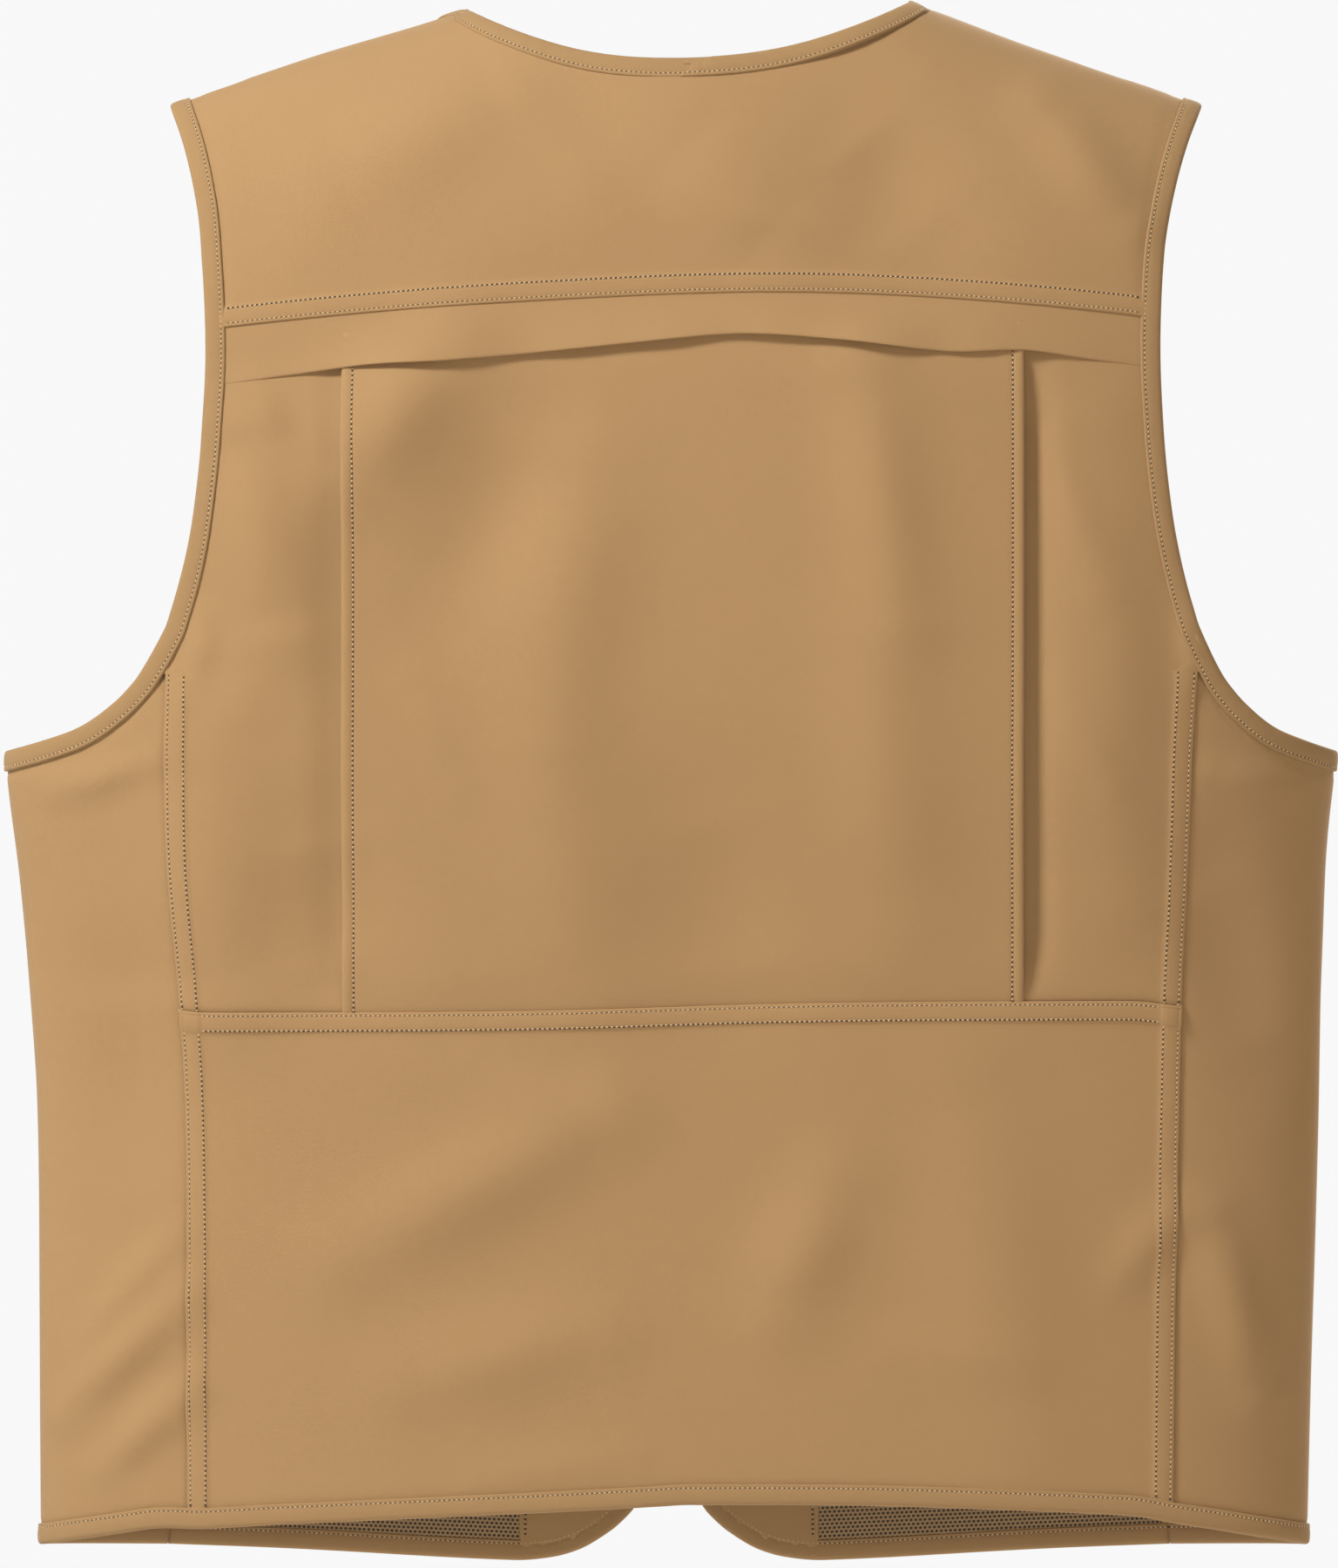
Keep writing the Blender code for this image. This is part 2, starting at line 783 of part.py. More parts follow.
def make_front_yokes(look):
    foot = FRONT_SPLIT_Z + SEAM_GAP
    head = SHOULDER_SEAM - 0.012

    def neck_side(v):
        last = level(0.022, foot, -1)
        turn = last + (head - last) * v
        return smooth(NECK_FRONT_TURNS, turn), turn

    def arm_side(v):
        turn = level(smooth(ARMHOLE_FRONT_INSET, foot), foot, -1)
        turn = turn + (head - turn) * v
        return smooth(ARMHOLE_FRONT_TURNS, turn), turn

    def between(first, last):
        return lambda u: [first[k] + (last[k] - first[k]) * u for k in (0, 1)]

    def bottom(u):
        x = between(neck_side(0), arm_side(0))(u)[0]
        return on_front(x, foot)

    edges = (bottom, between(neck_side(1), arm_side(1)), neck_side, arm_side)
    for name, side in (("left", 1), ("right", -1)):
        patch(f"front_yoke_{name}", edges, 7, 7, 0, CLOTH, look, side=side)


def front_bottom(share):
    """The lower edge of the front cloth, inside the binding."""
    return inset(off_body, front_hem, 0.015 + 0.977 * share, EDGE_INSET)


def front_left_edge(share):
    """The centre edge of the front cloth, from the rounded corner up."""
    return inset(off_body, front_edge, 0.985 * (1 - share) + 0.006 * share, EDGE_INSET)


def make_front_panels(look, fronts):
    top_z = FRONT_SPLIT_Z - SEAM_GAP
    side_x = FRONT_SEAM_X - HINGE_GAP
    arm_x = smooth(ARMHOLE_FRONT_INSET, top_z)
    corner = front_bottom(0)
    arm_low = ARMHOLE_FRONT_INSET[0][0]

    def outer(v):
        first = body(*front_bottom(1)).z
        if v < 0.75:
            z = first + (arm_low - 1.5 * MM - first) * v / 0.75
            return on_front(side_x, z)
        z = arm_low + (top_z - arm_low) * (v - 0.75) / 0.25
        return on_front(smooth(ARMHOLE_FRONT_INSET, z), z)

    def bottom(u):
        x, turn = front_bottom(u)
        x = x + (side_x - front_bottom(1)[0]) * u
        return x, turn

    def inner(v):
        if v == 0:
            return corner
        return front_left_edge(v)

    def top(u):
        x = inner(1)[0] + (arm_x - inner(1)[0]) * u
        return on_front(x, top_z)

    for name, side in (("left", 1), ("right", -1)):
        edges = (bottom, top, inner, outer)
        patch(f"front_panel_{name}", edges, 8, 16, 0, CLOTH, look, hinge=fronts[side], side=side)


def make_front_insides(cloth, mesh, fronts):
    """The solid facing down each front edge, and the mesh lining beside it."""
    top_z = FRONT_SPLIT_Z - 4 * MM
    foot_z = -0.684
    inner_x = 0.0088 + EDGE_INSET + 5.5 * MM

    def rounded(x):
        """The lower end of the facing, which clears the binding of the rounded corner."""
        reach = min(max((FACING_X - x) / (FACING_X - inner_x), 0), 1)
        return foot_z + 26 * MM * reach**2.2

    def facing_bottom(u):
        x = inner_x + (FACING_X - inner_x) * u
        return on_front(x, rounded(x))

    def facing_top(u):
        x = inner_x + 2 * MM + (FACING_X - inner_x - 2 * MM) * u
        return on_front(x, top_z)

    def facing_inner(v):
        z = rounded(inner_x) + (top_z - rounded(inner_x)) * v
        return on_front(inner_x + 2 * MM * v, z)

    def facing_outer(v):
        return on_front(FACING_X, foot_z + (top_z - foot_z) * v)

    left = FACING_X + SEAM_GAP

    def side_x(z):
        edge = FRONT_SEAM_X if z < ARMHOLE_FRONT_INSET[0][0] else smooth(ARMHOLE_FRONT_INSET, z)
        return edge - 4 * MM

    def lining_bottom(u):
        x = left + (side_x(foot_z) - left) * u
        return on_front(x, smooth(((0.067, -0.685), (0.17, -0.680), (0.2255, -0.678)), x))

    def lining_top(u):
        return on_front(left + (side_x(top_z) - left) * u, top_z)

    def lining_inner(v):
        return on_front(left, -0.685 + (top_z + 0.685) * v)

    def lining_outer(v):
        z = -0.678 + (top_z + 0.678) * v
        return on_front(side_x(z), z)

    facing = (facing_bottom, facing_top, facing_inner, facing_outer)
    lining = (lining_bottom, lining_top, lining_inner, lining_outer)
    for name, side in (("left", 1), ("right", -1)):
        sizes = dict(hinge=fronts[side], side=side)
        patch(f"front_facing_{name}", facing, 3, 10, -2.0 * MM, -0.8 * MM, cloth, **sizes)
        patch(f"front_lining_{name}", lining, 6, 10, -2.0 * MM, -1.0 * MM, mesh, **sizes)


# ---- Pockets ----


def pouch_grid(pocket, wall):
    """A tray open at its top: the wall is taken off its sides, its foot and its depth."""
    x0, x1 = pocket["x0"] + wall, pocket["x1"] - wall
    z0, z1 = pocket["z0"] + wall, pocket["z1"] - pocket["drop"]
    depth = pocket["depth"] - wall
    base = CLOTH + GAP
    shoulder_x = 0.35 * pocket["depth"]
    xs = [x0, x0 + 0.15 * shoulder_x, x0 + shoulder_x, *spread(x0 + 0.02, x1 - 0.02, 4)]
    xs += [x1 - shoulder_x, x1 - 0.15 * shoulder_x, x1]
    across = [0.0, 0.75, 0.96, 1, 1, 1, 1, 1, 0.96, 0.75, 0.0]
    zs = [z0, z0 + 0.15 * shoulder_x, z0 + shoulder_x, *spread(z0 + 0.02, z1, 3)]
    down = [0.0, 0.75, 0.96, 1, 1, 1, 1]
    grid = []
    for z, deep in zip(zs, down):
        outs = [base + (depth - GAP) * deep * wide for wide in across]
        grid.append([off_body(*on_front(x, z), out) for x, out in zip(xs, outs)])
    return grid


def flap_line(pocket, cover):
    """The flap's profile as (out, z): from its sewn top edge over the pouch and down its face."""
    top = pocket["z1"]
    front = CLOTH + pocket["depth"] + FLAP_ROOM + cover
    shape = (
        (FLAP_STAND + 0.7 * cover, top + 0.7 * cover),
        (FLAP_STAND + 0.45 * (front - FLAP_STAND), top - 0.28 * pocket["drop"] + cover),
        (front - 0.6 * MM, top - 0.75 * pocket["drop"] + 0.5 * cover),
        (front, top - 1.3 * pocket["drop"]),
        (front, top - 0.7 * pocket["flap"]),
        (front, top - pocket["flap"]),
    )
    return shape


def flap_grid(pocket, cover):
    xs = spread(pocket["x0"] - FLAP_SIDE, pocket["x1"] + FLAP_SIDE, 6)
    point = 5 * MM
    rows = []
    for place, (out, z) in enumerate(flap_line(pocket, cover)):
        row = []
        for x in xs:
            middle = 1 - abs(2 * (x - xs[0]) / (xs[-1] - xs[0]) - 1)
            dip = point * min(middle * 3, 1) if place == 5 else 0
            row.append(off_body(*on_front(x, z - dip), out))
        rows.append(row)
    return rows


def flap_axis(pocket):
    """A point on the flap's hinge line and its direction, along the chord of the sewn edge."""
    ends = [off_body(*on_front(pocket[key], pocket["z1"]), FLAP_STAND) for key in ("x0", "x1")]
    middle = off_body(*on_front((pocket["x0"] + pocket["x1"]) / 2, pocket["z1"]), FLAP_STAND)
    return middle, (ends[1] - ends[0]).normalized()


def make_pocket(kind, pocket, snaps, side_name, side, looks, front):
    cloth, brass = looks
    inner, outer = pouch_grid(pocket, POUCH_WALL), pouch_grid(pocket, 0)
    shell(f"{kind}_pocket_{side_name}", inner, outer, cloth, front, side)
    place, _ = flap_axis(pocket)
    hinge = add_hinge(f"{kind}_flap_{side_name}_hinge", (place.x * side, place.y, place.z))
    inner, outer = flap_grid(pocket, 0), flap_grid(pocket, FLAP_CLOTH)
    shell(f"{kind}_flap_{side_name}", inner, outer, cloth, hinge, side)
    snap_z = pocket["z1"] - 0.72 * pocket["flap"]
    front_face = CLOTH + pocket["depth"]
    for number, x in enumerate(snaps, 1):
        label = f"{kind}_{{}}_{side_name}" + (f"_{number}" if len(snaps) > 1 else "")
        spot = on_front(x, snap_z)
        axis = off_body(*spot, 1) - off_body(*spot, 0)
        stud = off_body(*spot, front_face + 2 * GAP)
        disc(label.format("stud"), stud, axis, STUD_RADIUS, 1.0 * MM, brass, front, side)
        cap = off_body(*spot, front_face + FLAP_ROOM + FLAP_CLOTH + 2 * GAP)
        disc(label.format("snap"), cap, axis, SNAP_RADIUS, 1.8 * MM, brass, hinge, side)


def make_pockets(looks, fronts):
    for name, side in (("left", 1), ("right", -1)):
        make_pocket("chest", CHEST_POCKET, [0.1025], name, side, looks, fronts[side])
        make_pocket("cargo", CARGO_POCKET, [0.078, 0.170], name, side, looks, fronts[side])


# ---- Zip ----


def chain_box(chain, side, z0, z1, half_depth):
    """The two end sections of a straight bar down the centre front."""
    y = -FRONT_DEPTH + 1.6 * MM
    first, last = chain
    corners = [(first, -half_depth), (last, -half_depth), (last, half_depth), (first, half_depth)]
    return [[Vector((x * side, y + dy, z)) for x, dy in corners] for z in (z0, z1)]


def make_zip(looks, fronts):
    nylon, tape, brass = looks
    y_mid = -FRONT_DEPTH + 1.6 * MM
    for name, side, chain in (("left", 1, CHAIN_LEFT), ("right", -1, CHAIN_RIGHT)):
        z0, z1 = ZIP_FOOT_Z, ZIP_TOP_Z
        bar(f"zip_chain_{name}", chain_box(chain, side, z0, z1, CHAIN_HALF_DEPTH), nylon, fronts[side])
        strip = (chain[1] + GAP, 0.0215)
        y = -FRONT_DEPTH - TAPE_LOW - 0.4 * MM
        low_y = y - TAPE_CLOTH
        corners = [(strip[0], y), (strip[1], y), (strip[1], low_y), (strip[0], low_y)]
        ends = [[Vector((x * side, dy, z)) for x, dy in corners] for z in (z0 - 0.012, z1 + 0.004)]
        bar(f"zip_tape_{name}", ends, tape, fronts[side])
        foot = (chain[0] - 0.3 * MM, chain[1])
        box = chain_box(foot, side, z0 - 9.5 * MM, z0 - GAP, CHAIN_HALF_DEPTH + 0.4 * MM)
        bar("zip_retaining_box" if side > 0 else "zip_insertion_pin", box, brass, fronts[side])

    slider_z = ZIP_FOOT_Z + 1.5 * MM
    hinge = add_hinge("zip_slider_slide", (0.003, y_mid, slider_z))
    x0, x1 = -1.6 * MM, 7.0 * MM
    inner, outer = CHAIN_HALF_DEPTH + 0.3 * MM, CHAIN_HALF_DEPTH + 1.5 * MM
    wall = x0 + 2.2 * MM
    outline = [
        (x0, -outer),
        (x1, -outer),
        (x1, -inner),
        (wall, -inner),
        (wall, inner),
        (x1 - 0.6 * MM, inner),
        (x1 - 0.6 * MM, outer),
        (x0, outer),
    ]
    ends = [[Vector((x, y_mid + dy, z)) for x, dy in outline] for z in (slider_z, slider_z + SLIDER_LENGTH)]
    bar("zip_slider", ends, brass, hinge)

    pivot_y = y_mid - outer - 2.0 * MM
    pivot_z = slider_z + 0.78 * SLIDER_LENGTH
    pull_hinge = add_hinge("zip_pull_hinge", (0.003, pivot_y, pivot_z))
    face = pivot_y - 0.8 * MM
    widths = ((0.5, 2.2), (0.0, 2.2), (-6, 2.2), (-9, 3.4), (-26, 3.4), (-28.5, 2.0))
    sections = []
    for dz, half in widths:
        ring = [(-half, 0), (half, 0), (half, 1.6), (-half, 1.6)]
        sections.append([Vector((0.003 + x * MM, face + dy * MM, pivot_z + dz * MM)) for x, dy in ring])
    bar("zip_pull", sections, brass, pull_hinge)


# ---- Small fittings ----


def make_ring_and_tab(looks, front):
    webbing, brass = looks
    base = off_body(*on_front(RING_X, RING_Z), 0)
    outward = (off_body(*on_front(RING_X, RING_Z), 1) - base).normalized()
    across = Vector((0, 0, 1)).cross(outward).normalized() * -1
    up = outward.cross(across).normalized()
    if up.z < 0:
        up.negate()
    pivot = base + outward * (CLOTH + 4.6 * MM)
    hinge = add_hinge("d_ring_hinge", pivot)
    half_x = RING_WIDTH / 2
    arc = RING_HEIGHT - 4 * MM
    route = [(-half_x + 3 * MM, 0), (half_x - 3 * MM, 0), (half_x, -1.2 * MM)]
    route += [(half_x * math.cos(t), -3 * MM - arc * math.sin(t)) for t in spread(0.15, math.pi - 0.15, 10)]
    route += [(-half_x, -1.2 * MM)]
    sections = []
    for k, (x, z) in enumerate(route):
        before, after = Vector(route[k - 1]), Vector(route[(k + 1) % len(route)])
        ahead = (after - before).normalized()
        sideways = across * -ahead.y + up * ahead.x
        centre = pivot + across * x + up * z
        ring = [
            centre + (sideways * math.cos(t) + outward * math.sin(t)) * RING_WIRE
            for t in (2 * math.pi * n / 8 for n in range(8))
        ]
        sections.append(ring)
    bar("d_ring", sections, brass, hinge, closed=True)

    hollow = RING_WIRE + 0.5 * MM
    thick = 1.1 * MM
    back = -4.6 * MM + GAP + thick
    line = [(back, TAB_TOP), (back, 3.5 * MM), (-hollow - 0.5 * MM, 0.5 * MM)]
    line += [(-hollow * math.cos(t), -hollow * math.sin(t)) for t in spread(0.4, math.pi - 0.4, 6)]
    line += [(hollow - 0.2 * MM, 1.0 * MM), (-0.5 * MM, 4.5 * MM)]
    line += [(back + GAP, 8 * MM), (back + GAP, TAB_TOP)]
    inner, outer = [], []
    for k, (out, z) in enumerate(line):
        before, after = line[max(k - 1, 0)], line[min(k + 1, len(line) - 1)]
        ahead = (Vector(after) - Vector(before)).normalized()
        left = Vector((ahead.y, -ahead.x))
        for grid, shift in ((inner, 0.0), (outer, thick)):
            o, h = out + left.x * shift, z + left.y * shift
            middle = pivot + outward * o + up * h
            grid.append([middle - across * TAB_HALF_WIDTH, middle + across * TAB_HALF_WIDTH])
    shell("d_ring_tab", inner, outer, webbing, front)


def make_hang_loop(look):
    """A narrow loop that stands off the inside of the back neck."""
    half = 0.030
    sections = []
    for t in spread(0, 1, 10):
        x = half * math.cos(math.pi * t)
        bulge = math.sin(math.pi * t)
        z = -0.041 - 0.004 * bulge
        wall = off_body(*on_back(x, z), -7.4 * MM)
        centre = wall - Vector((0, 14 * MM * bulge, 0))
        thick = Vector((0, 0.6 * MM, 0))
        tall = Vector((0, 0, 2.5 * MM))
        low, high = centre - tall, centre + tall
        sections.append([low - thick, low + thick, high + thick, high - thick])
    bar("hang_loop", sections, look)


def make_neck_label(look):
    half, top, height = 0.024, -0.058, 0.030

    def row(z):
        return lambda u: on_back((2 * u - 1) * half, z)

    def edge(sign):
        return lambda v: on_back(sign * half, top - height + height * v)

    edges = (row(top - height), row(top), edge(-1), edge(1))
    patch("neck_label", edges, 3, 2, -7.6 * MM, -6.8 * MM, look)


ARMHOLE_BACK_TURNS = inset_by_turn(armhole, spread(0.02, 1.95, 60), EDGE_INSET)
ARMHOLE_FRONT_TURNS = inset_by_turn(armhole, spread(-0.02, -1.9, 60), EDGE_INSET)
NECK_FRONT_TURNS = inset_by_turn(neck_front, spread(-0.02, -1.55, 60), -(EDGE_INSET + GAP))
ARMHOLE_BACK_INSET = inset_by_height(ARMHOLE_BACK_TURNS)
ARMHOLE_FRONT_INSET = inset_by_height(ARMHOLE_FRONT_TURNS)
UNDERARM_INSET = sorted(inset(off_flank, underarm, angle, EDGE_INSET) for angle in spread(0.70, 2.50, 80))


def main():
    clear_scene()
    shell_cloth = material("shell_cloth", KHAKI, 0.85)
    binding = material("binding", KHAKI_DARK, 0.85)
    lining = material("mesh_lining", MESH_TAN, 0.9)
    webbing = material("webbing", KHAKI_DARK, 0.8)
    brass = material("antique_brass", BRASS, 0.4, 1.0)
    nylon = material("zip_nylon", NYLON, 0.5)
    label = material("label", LABEL, 0.8)
    fronts = {
        1: add_hinge("front_left_hinge", (FRONT_SEAM_X, -FRONT_SEAM_Y, -0.45)),
        -1: add_hinge("front_right_hinge", (-FRONT_SEAM_X, -FRONT_SEAM_Y, -0.45)),
    }
    seam_y = body(*on_back(0, YOKE_SEAM_Z)).y + 2 * MM
    flap_hinge = add_hinge("vent_flap_hinge", (0, seam_y, YOKE_SEAM_Z - SEAM_GAP))

    make_yoke(shell_cloth)
    make_flap(shell_cloth, flap_hinge)
    make_back_panels(shell_cloth)
    make_lower_panel(shell_cloth)
    make_side_panels(shell_cloth)
    make_vent_mesh(lining)
    make_back_lining(lining)
    make_neck_binding(binding)
    make_armhole_bindings(binding, fronts)
    make_hem_binding(binding)
    make_front_edge_bindings(binding, fronts)
    make_front_yokes(shell_cloth)
    make_front_panels(shell_cloth, fronts)
    make_front_insides(shell_cloth, lining, fronts)
    make_pockets((shell_cloth, brass), fronts)
    make_zip((nylon, webbing, brass), fronts)
    make_ring_and_tab((webbing, brass), fronts[1])
    make_hang_loop(webbing)
    make_neck_label(label)


main()
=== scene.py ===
"""The fishing vest's looks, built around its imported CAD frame.

Metres, +Z up. The wearer faces -Y, so the back is at +Y and the wearer's left is at +X. Cloth pieces lie on
the CAD's own body surface, at small offsets outward from it, with soft folds added to every layer alike.
"""

import math

import bpy
import numpy as np

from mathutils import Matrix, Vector


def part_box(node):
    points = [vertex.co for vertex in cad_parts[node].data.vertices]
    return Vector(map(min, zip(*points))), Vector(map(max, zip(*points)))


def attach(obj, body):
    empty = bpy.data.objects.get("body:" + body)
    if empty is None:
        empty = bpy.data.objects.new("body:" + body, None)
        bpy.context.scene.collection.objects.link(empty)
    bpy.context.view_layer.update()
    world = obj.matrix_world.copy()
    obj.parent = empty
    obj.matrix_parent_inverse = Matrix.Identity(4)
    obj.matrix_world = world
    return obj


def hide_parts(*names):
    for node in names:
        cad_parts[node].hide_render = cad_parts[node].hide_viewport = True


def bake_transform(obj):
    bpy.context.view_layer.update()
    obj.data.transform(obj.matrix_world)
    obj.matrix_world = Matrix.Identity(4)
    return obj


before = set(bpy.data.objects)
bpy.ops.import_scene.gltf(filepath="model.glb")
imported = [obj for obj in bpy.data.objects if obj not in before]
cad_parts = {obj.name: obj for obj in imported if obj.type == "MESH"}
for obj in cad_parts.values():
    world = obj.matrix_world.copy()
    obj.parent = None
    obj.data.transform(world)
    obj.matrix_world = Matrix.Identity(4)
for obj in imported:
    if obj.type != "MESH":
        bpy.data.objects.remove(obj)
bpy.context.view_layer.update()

MM = 0.001
SIDES = (("left", 1), ("right", -1))

# ---- The CAD's body surface and outlines, which part.py defines ----

SHOULDER_TIP_X = 0.231
SHOULDER_NECK_Z = -0.003
SHOULDER_SLOPE = 0.354
SHOULDER_CROWN = 0.05
NECK_SEAM_X = 0.1067
ROUNDING = 0.12
SIDE_POWER = 2.6
BACK_POWER = 0.5556
FRONT_DEPTH = 0.066
HALF_WIDTH = ((-0.69, 0.283), (-0.58, 0.2847), (-0.477, 0.287), (-0.39, 0.292), (-0.345, 0.297))
BACK_DEPTH = ((-0.69, 0.060), (-0.45, 0.060), (-0.30, 0.066), (-0.13, 0.062), (0.02, 0.052))
FRONT_SEAM_X = 0.2255
FRONT_SEAM_Y = 0.044
NECK_X = 0.099
NECK_DROP = 0.024
NECK_POWER = 2.2
V_EDGE = (
    (-0.205, 0.0090), (-0.15, 0.036), (-0.10, 0.061), (-0.05, 0.083), (-0.015, 0.096), (0.0, 0.099),
)  # fmt: skip
ARMHOLE_BACK = (
    (-0.293, 0.2375), (-0.277, 0.2305), (-0.247, 0.2223), (-0.2235, 0.218), (-0.191, 0.2146),
    (-0.15, 0.2132), (-0.105, 0.2155), (-0.082, 0.2194), (-0.062, 0.2247), (-0.045, 0.231),
)  # fmt: skip
ARMHOLE_FRONT = (
    (-0.2905, 0.2255), (-0.25, 0.209), (-0.205, 0.2015), (-0.165, 0.200), (-0.125, 0.2045),
    (-0.085, 0.2145), (-0.062, 0.2235), (-0.045, 0.231),
)  # fmt: skip
UNDERARM_BACK = (
    (0.2375, -0.293), (0.249, -0.308), (0.259, -0.317), (0.268, -0.323), (0.2824, -0.3285),
    (0.297, -0.333),
)  # fmt: skip
UNDERARM_FRONT = ((0.2255, -0.2905), (0.24, -0.3075), (0.255, -0.3185), (0.272, -0.3275), (0.297, -0.333))
HEM_BACK = ((0.0, -0.670), (0.11, -0.6733), (0.22, -0.679), (0.26, -0.685), (0.284, -0.689))
HEM_FRONT_SIDE = ((0.2255, -0.690), (0.284, -0.689))
FRONT_EDGE = (
    (0.0112, -0.2015), (0.0088, -0.209), (0.0088, -0.40), (0.0085, -0.60), (0.0095, -0.655),
    (0.0145, -0.6725), (0.0225, -0.682),
)  # fmt: skip
FRONT_HEM = (
    (0.0225, -0.682), (0.031, -0.688), (0.040, -0.693), (0.052, -0.6965), (0.070, -0.698),
    (0.17, -0.6925), (0.2252, -0.690),
)  # fmt: skip
PRINCESS_SEAM = (
    (-0.668, 0.221), (-0.58, 0.2216), (-0.504, 0.2228), (-0.45, 0.2245), (-0.385, 0.2285),
    (-0.304, 0.231),
)  # fmt: skip
YOKE_SEAM_Z = -0.1305
YOKE_SEAM_DIP = 0.012
CROSS_HALF = 0.204
WAIST_Z = -0.448
SHOULDER_SEAM = -0.25
PLEAT_FOLD_X = 0.152
PLEAT_DEPTH = 0.016
BINDING = 9.4 * MM
FACING_X = 0.067

# The free lower edge of the vent flap, as (x, z).
FLAP_FOOT = (
    (-0.214, -0.1655), (-0.178, -0.1605), (-0.152, -0.1570), (-0.118, -0.1575), (-0.066, -0.1515),
    (-0.026, -0.1483), (0.010, -0.1500), (0.092, -0.1562), (0.110, -0.1575), (0.138, -0.1586),
    (0.155, -0.1604), (0.214, -0.1685),
)  # fmt: skip

# ---- Soft folds: ridges (above 0) and hollows (below 0) of the cloth ----
# Each is x and z at its two ends, its width, and its height in millimetres.
BACK_FOLDS = (
    (0.081, -0.036, 0.158, -0.078, 0.023, 5.6),
    (0.004, -0.060, -0.045, -0.105, 0.026, 4.2),
    (-0.075, -0.060, -0.112, -0.102, 0.026, -4.2),
    (-0.158, -0.046, -0.200, -0.098, 0.014, 4.2),
    (0.196, -0.188, 0.180, -0.278, 0.020, 7.6),
    (0.200, -0.290, 0.196, -0.330, 0.020, 2.5),
    (0.216, -0.335, 0.204, -0.440, 0.026, 6.5),
    (0.165, -0.370, 0.152, -0.430, 0.028, -4.2),
    (0.106, -0.150, 0.150, -0.210, 0.023, 8.3),
    (0.062, -0.190, 0.110, -0.270, 0.026, -4.9),
    (0.046, -0.200, 0.060, -0.330, 0.026, 4.9),
    (0.058, -0.330, 0.042, -0.440, 0.028, 4.4),
    (-0.080, -0.165, -0.098, -0.280, 0.019, 5.5),
    (-0.086, -0.280, -0.098, -0.410, 0.024, 4.2),
    (-0.010, -0.360, -0.025, -0.440, 0.030, -3.4),
    (-0.188, -0.190, -0.196, -0.400, 0.022, 3.6),
    (0.035, -0.495, 0.152, -0.556, 0.021, 6.0),
    (0.036, -0.592, 0.125, -0.612, 0.018, 3.9),
    (-0.066, -0.530, -0.044, -0.585, 0.020, 5.2),
    (-0.130, -0.480, -0.150, -0.640, 0.028, 3.9),
    (-0.219, -0.539, -0.197, -0.570, 0.010, 2.9),
    (0.274, -0.630, 0.222, -0.576, 0.010, 4.9),
    (0.256, -0.655, 0.217, -0.615, 0.009, 4.2),
    (0.252, -0.440, 0.246, -0.540, 0.024, -5.5),
    (-0.236, -0.543, -0.260, -0.622, 0.013, 5.2),
    (-0.236, -0.390, -0.262, -0.470, 0.022, -3.9),
    (0.275, -0.351, 0.236, -0.339, 0.0065, 2.9),
    (-0.275, -0.351, -0.240, -0.341, 0.0065, 2.3),
    (0.212, -0.270, 0.219, -0.309, 0.0065, 2.3),
    (-0.226, -0.268, -0.229, -0.300, 0.0065, 2.3),
    (0.268, -0.600, 0.226, -0.548, 0.008, 2.4),
    (0.190, -0.168, 0.178, -0.195, 0.008, 1.4),
    (0.165, -0.165, 0.158, -0.205, 0.008, 1.2),
    (0.120, -0.300, 0.100, -0.345, 0.010, 1.5),
    (0.060, -0.060, 0.030, -0.092, 0.010, 1.2),
    (-0.030, -0.095, -0.062, -0.101, 0.008, 1.0),
    (-0.165, -0.200, -0.186, -0.262, 0.010, 1.8),
    (-0.170, -0.310, -0.190, -0.350, 0.009, 1.4),
    (0.092, -0.470, 0.050, -0.500, 0.010, 1.4),
    (-0.100, -0.600, -0.152, -0.612, 0.010, 1.4),
    (0.020, -0.648, 0.092, -0.655, 0.007, 1.0),
)
FRONT_FOLDS = (
    (0.170, -0.060, 0.100, -0.170, 0.024, 1.6),
    (0.190, -0.380, 0.120, -0.430, 0.022, 1.5),
    (0.205, -0.500, 0.215, -0.640, 0.012, 1.2),
    (-0.165, -0.070, -0.110, -0.160, 0.024, 1.6),
    (-0.185, -0.370, -0.110, -0.420, 0.022, 1.5),
    (-0.205, -0.520, -0.215, -0.650, 0.012, 1.2),
)

# How the whole garment hangs a little to one side, as shifts in x by height.
LEAN_MIDDLE = ((-0.11, -0.0063), (0.0, -0.0098))
LEAN_SIDES = (
    (-0.69, -0.0020), (-0.62, -0.0029), (-0.50, -0.0047), (-0.43, -0.0030), (-0.345, -0.0008),
    (-0.30, -0.0040), (-0.20, -0.0057), (0.0, -0.0066),
)  # fmt: skip


def smooth(table, at):
    """A smooth curve through rows of a place and its values, in rising order of place."""
    table = np.asarray(table, float)
    places, values = table[:, 0], table[:, 1:]
    at = np.clip(np.asarray(at, float), places[0], places[-1])
    k = np.clip(np.searchsorted(places, at) - 1, 0, len(places) - 2)
    low = np.maximum(np.arange(len(places)) - 1, 0)
    high = np.minimum(np.arange(len(places)) + 1, len(places) - 1)
    slopes = (values[high] - values[low]) / (places[high] - places[low])[:, None]
    span = (places[k + 1] - places[k])[..., None]
    t = (at - places[k])[..., None] / span
    found = (
        (2 * t**3 - 3 * t**2 + 1) * values[k]
        + (t**3 - 2 * t**2 + t) * slopes[k] * span
        + (3 * t**2 - 2 * t**3) * values[k + 1]
        + (t**3 - t**2) * slopes[k + 1] * span
    )
    return found[..., 0] if values.shape[1] == 1 else found


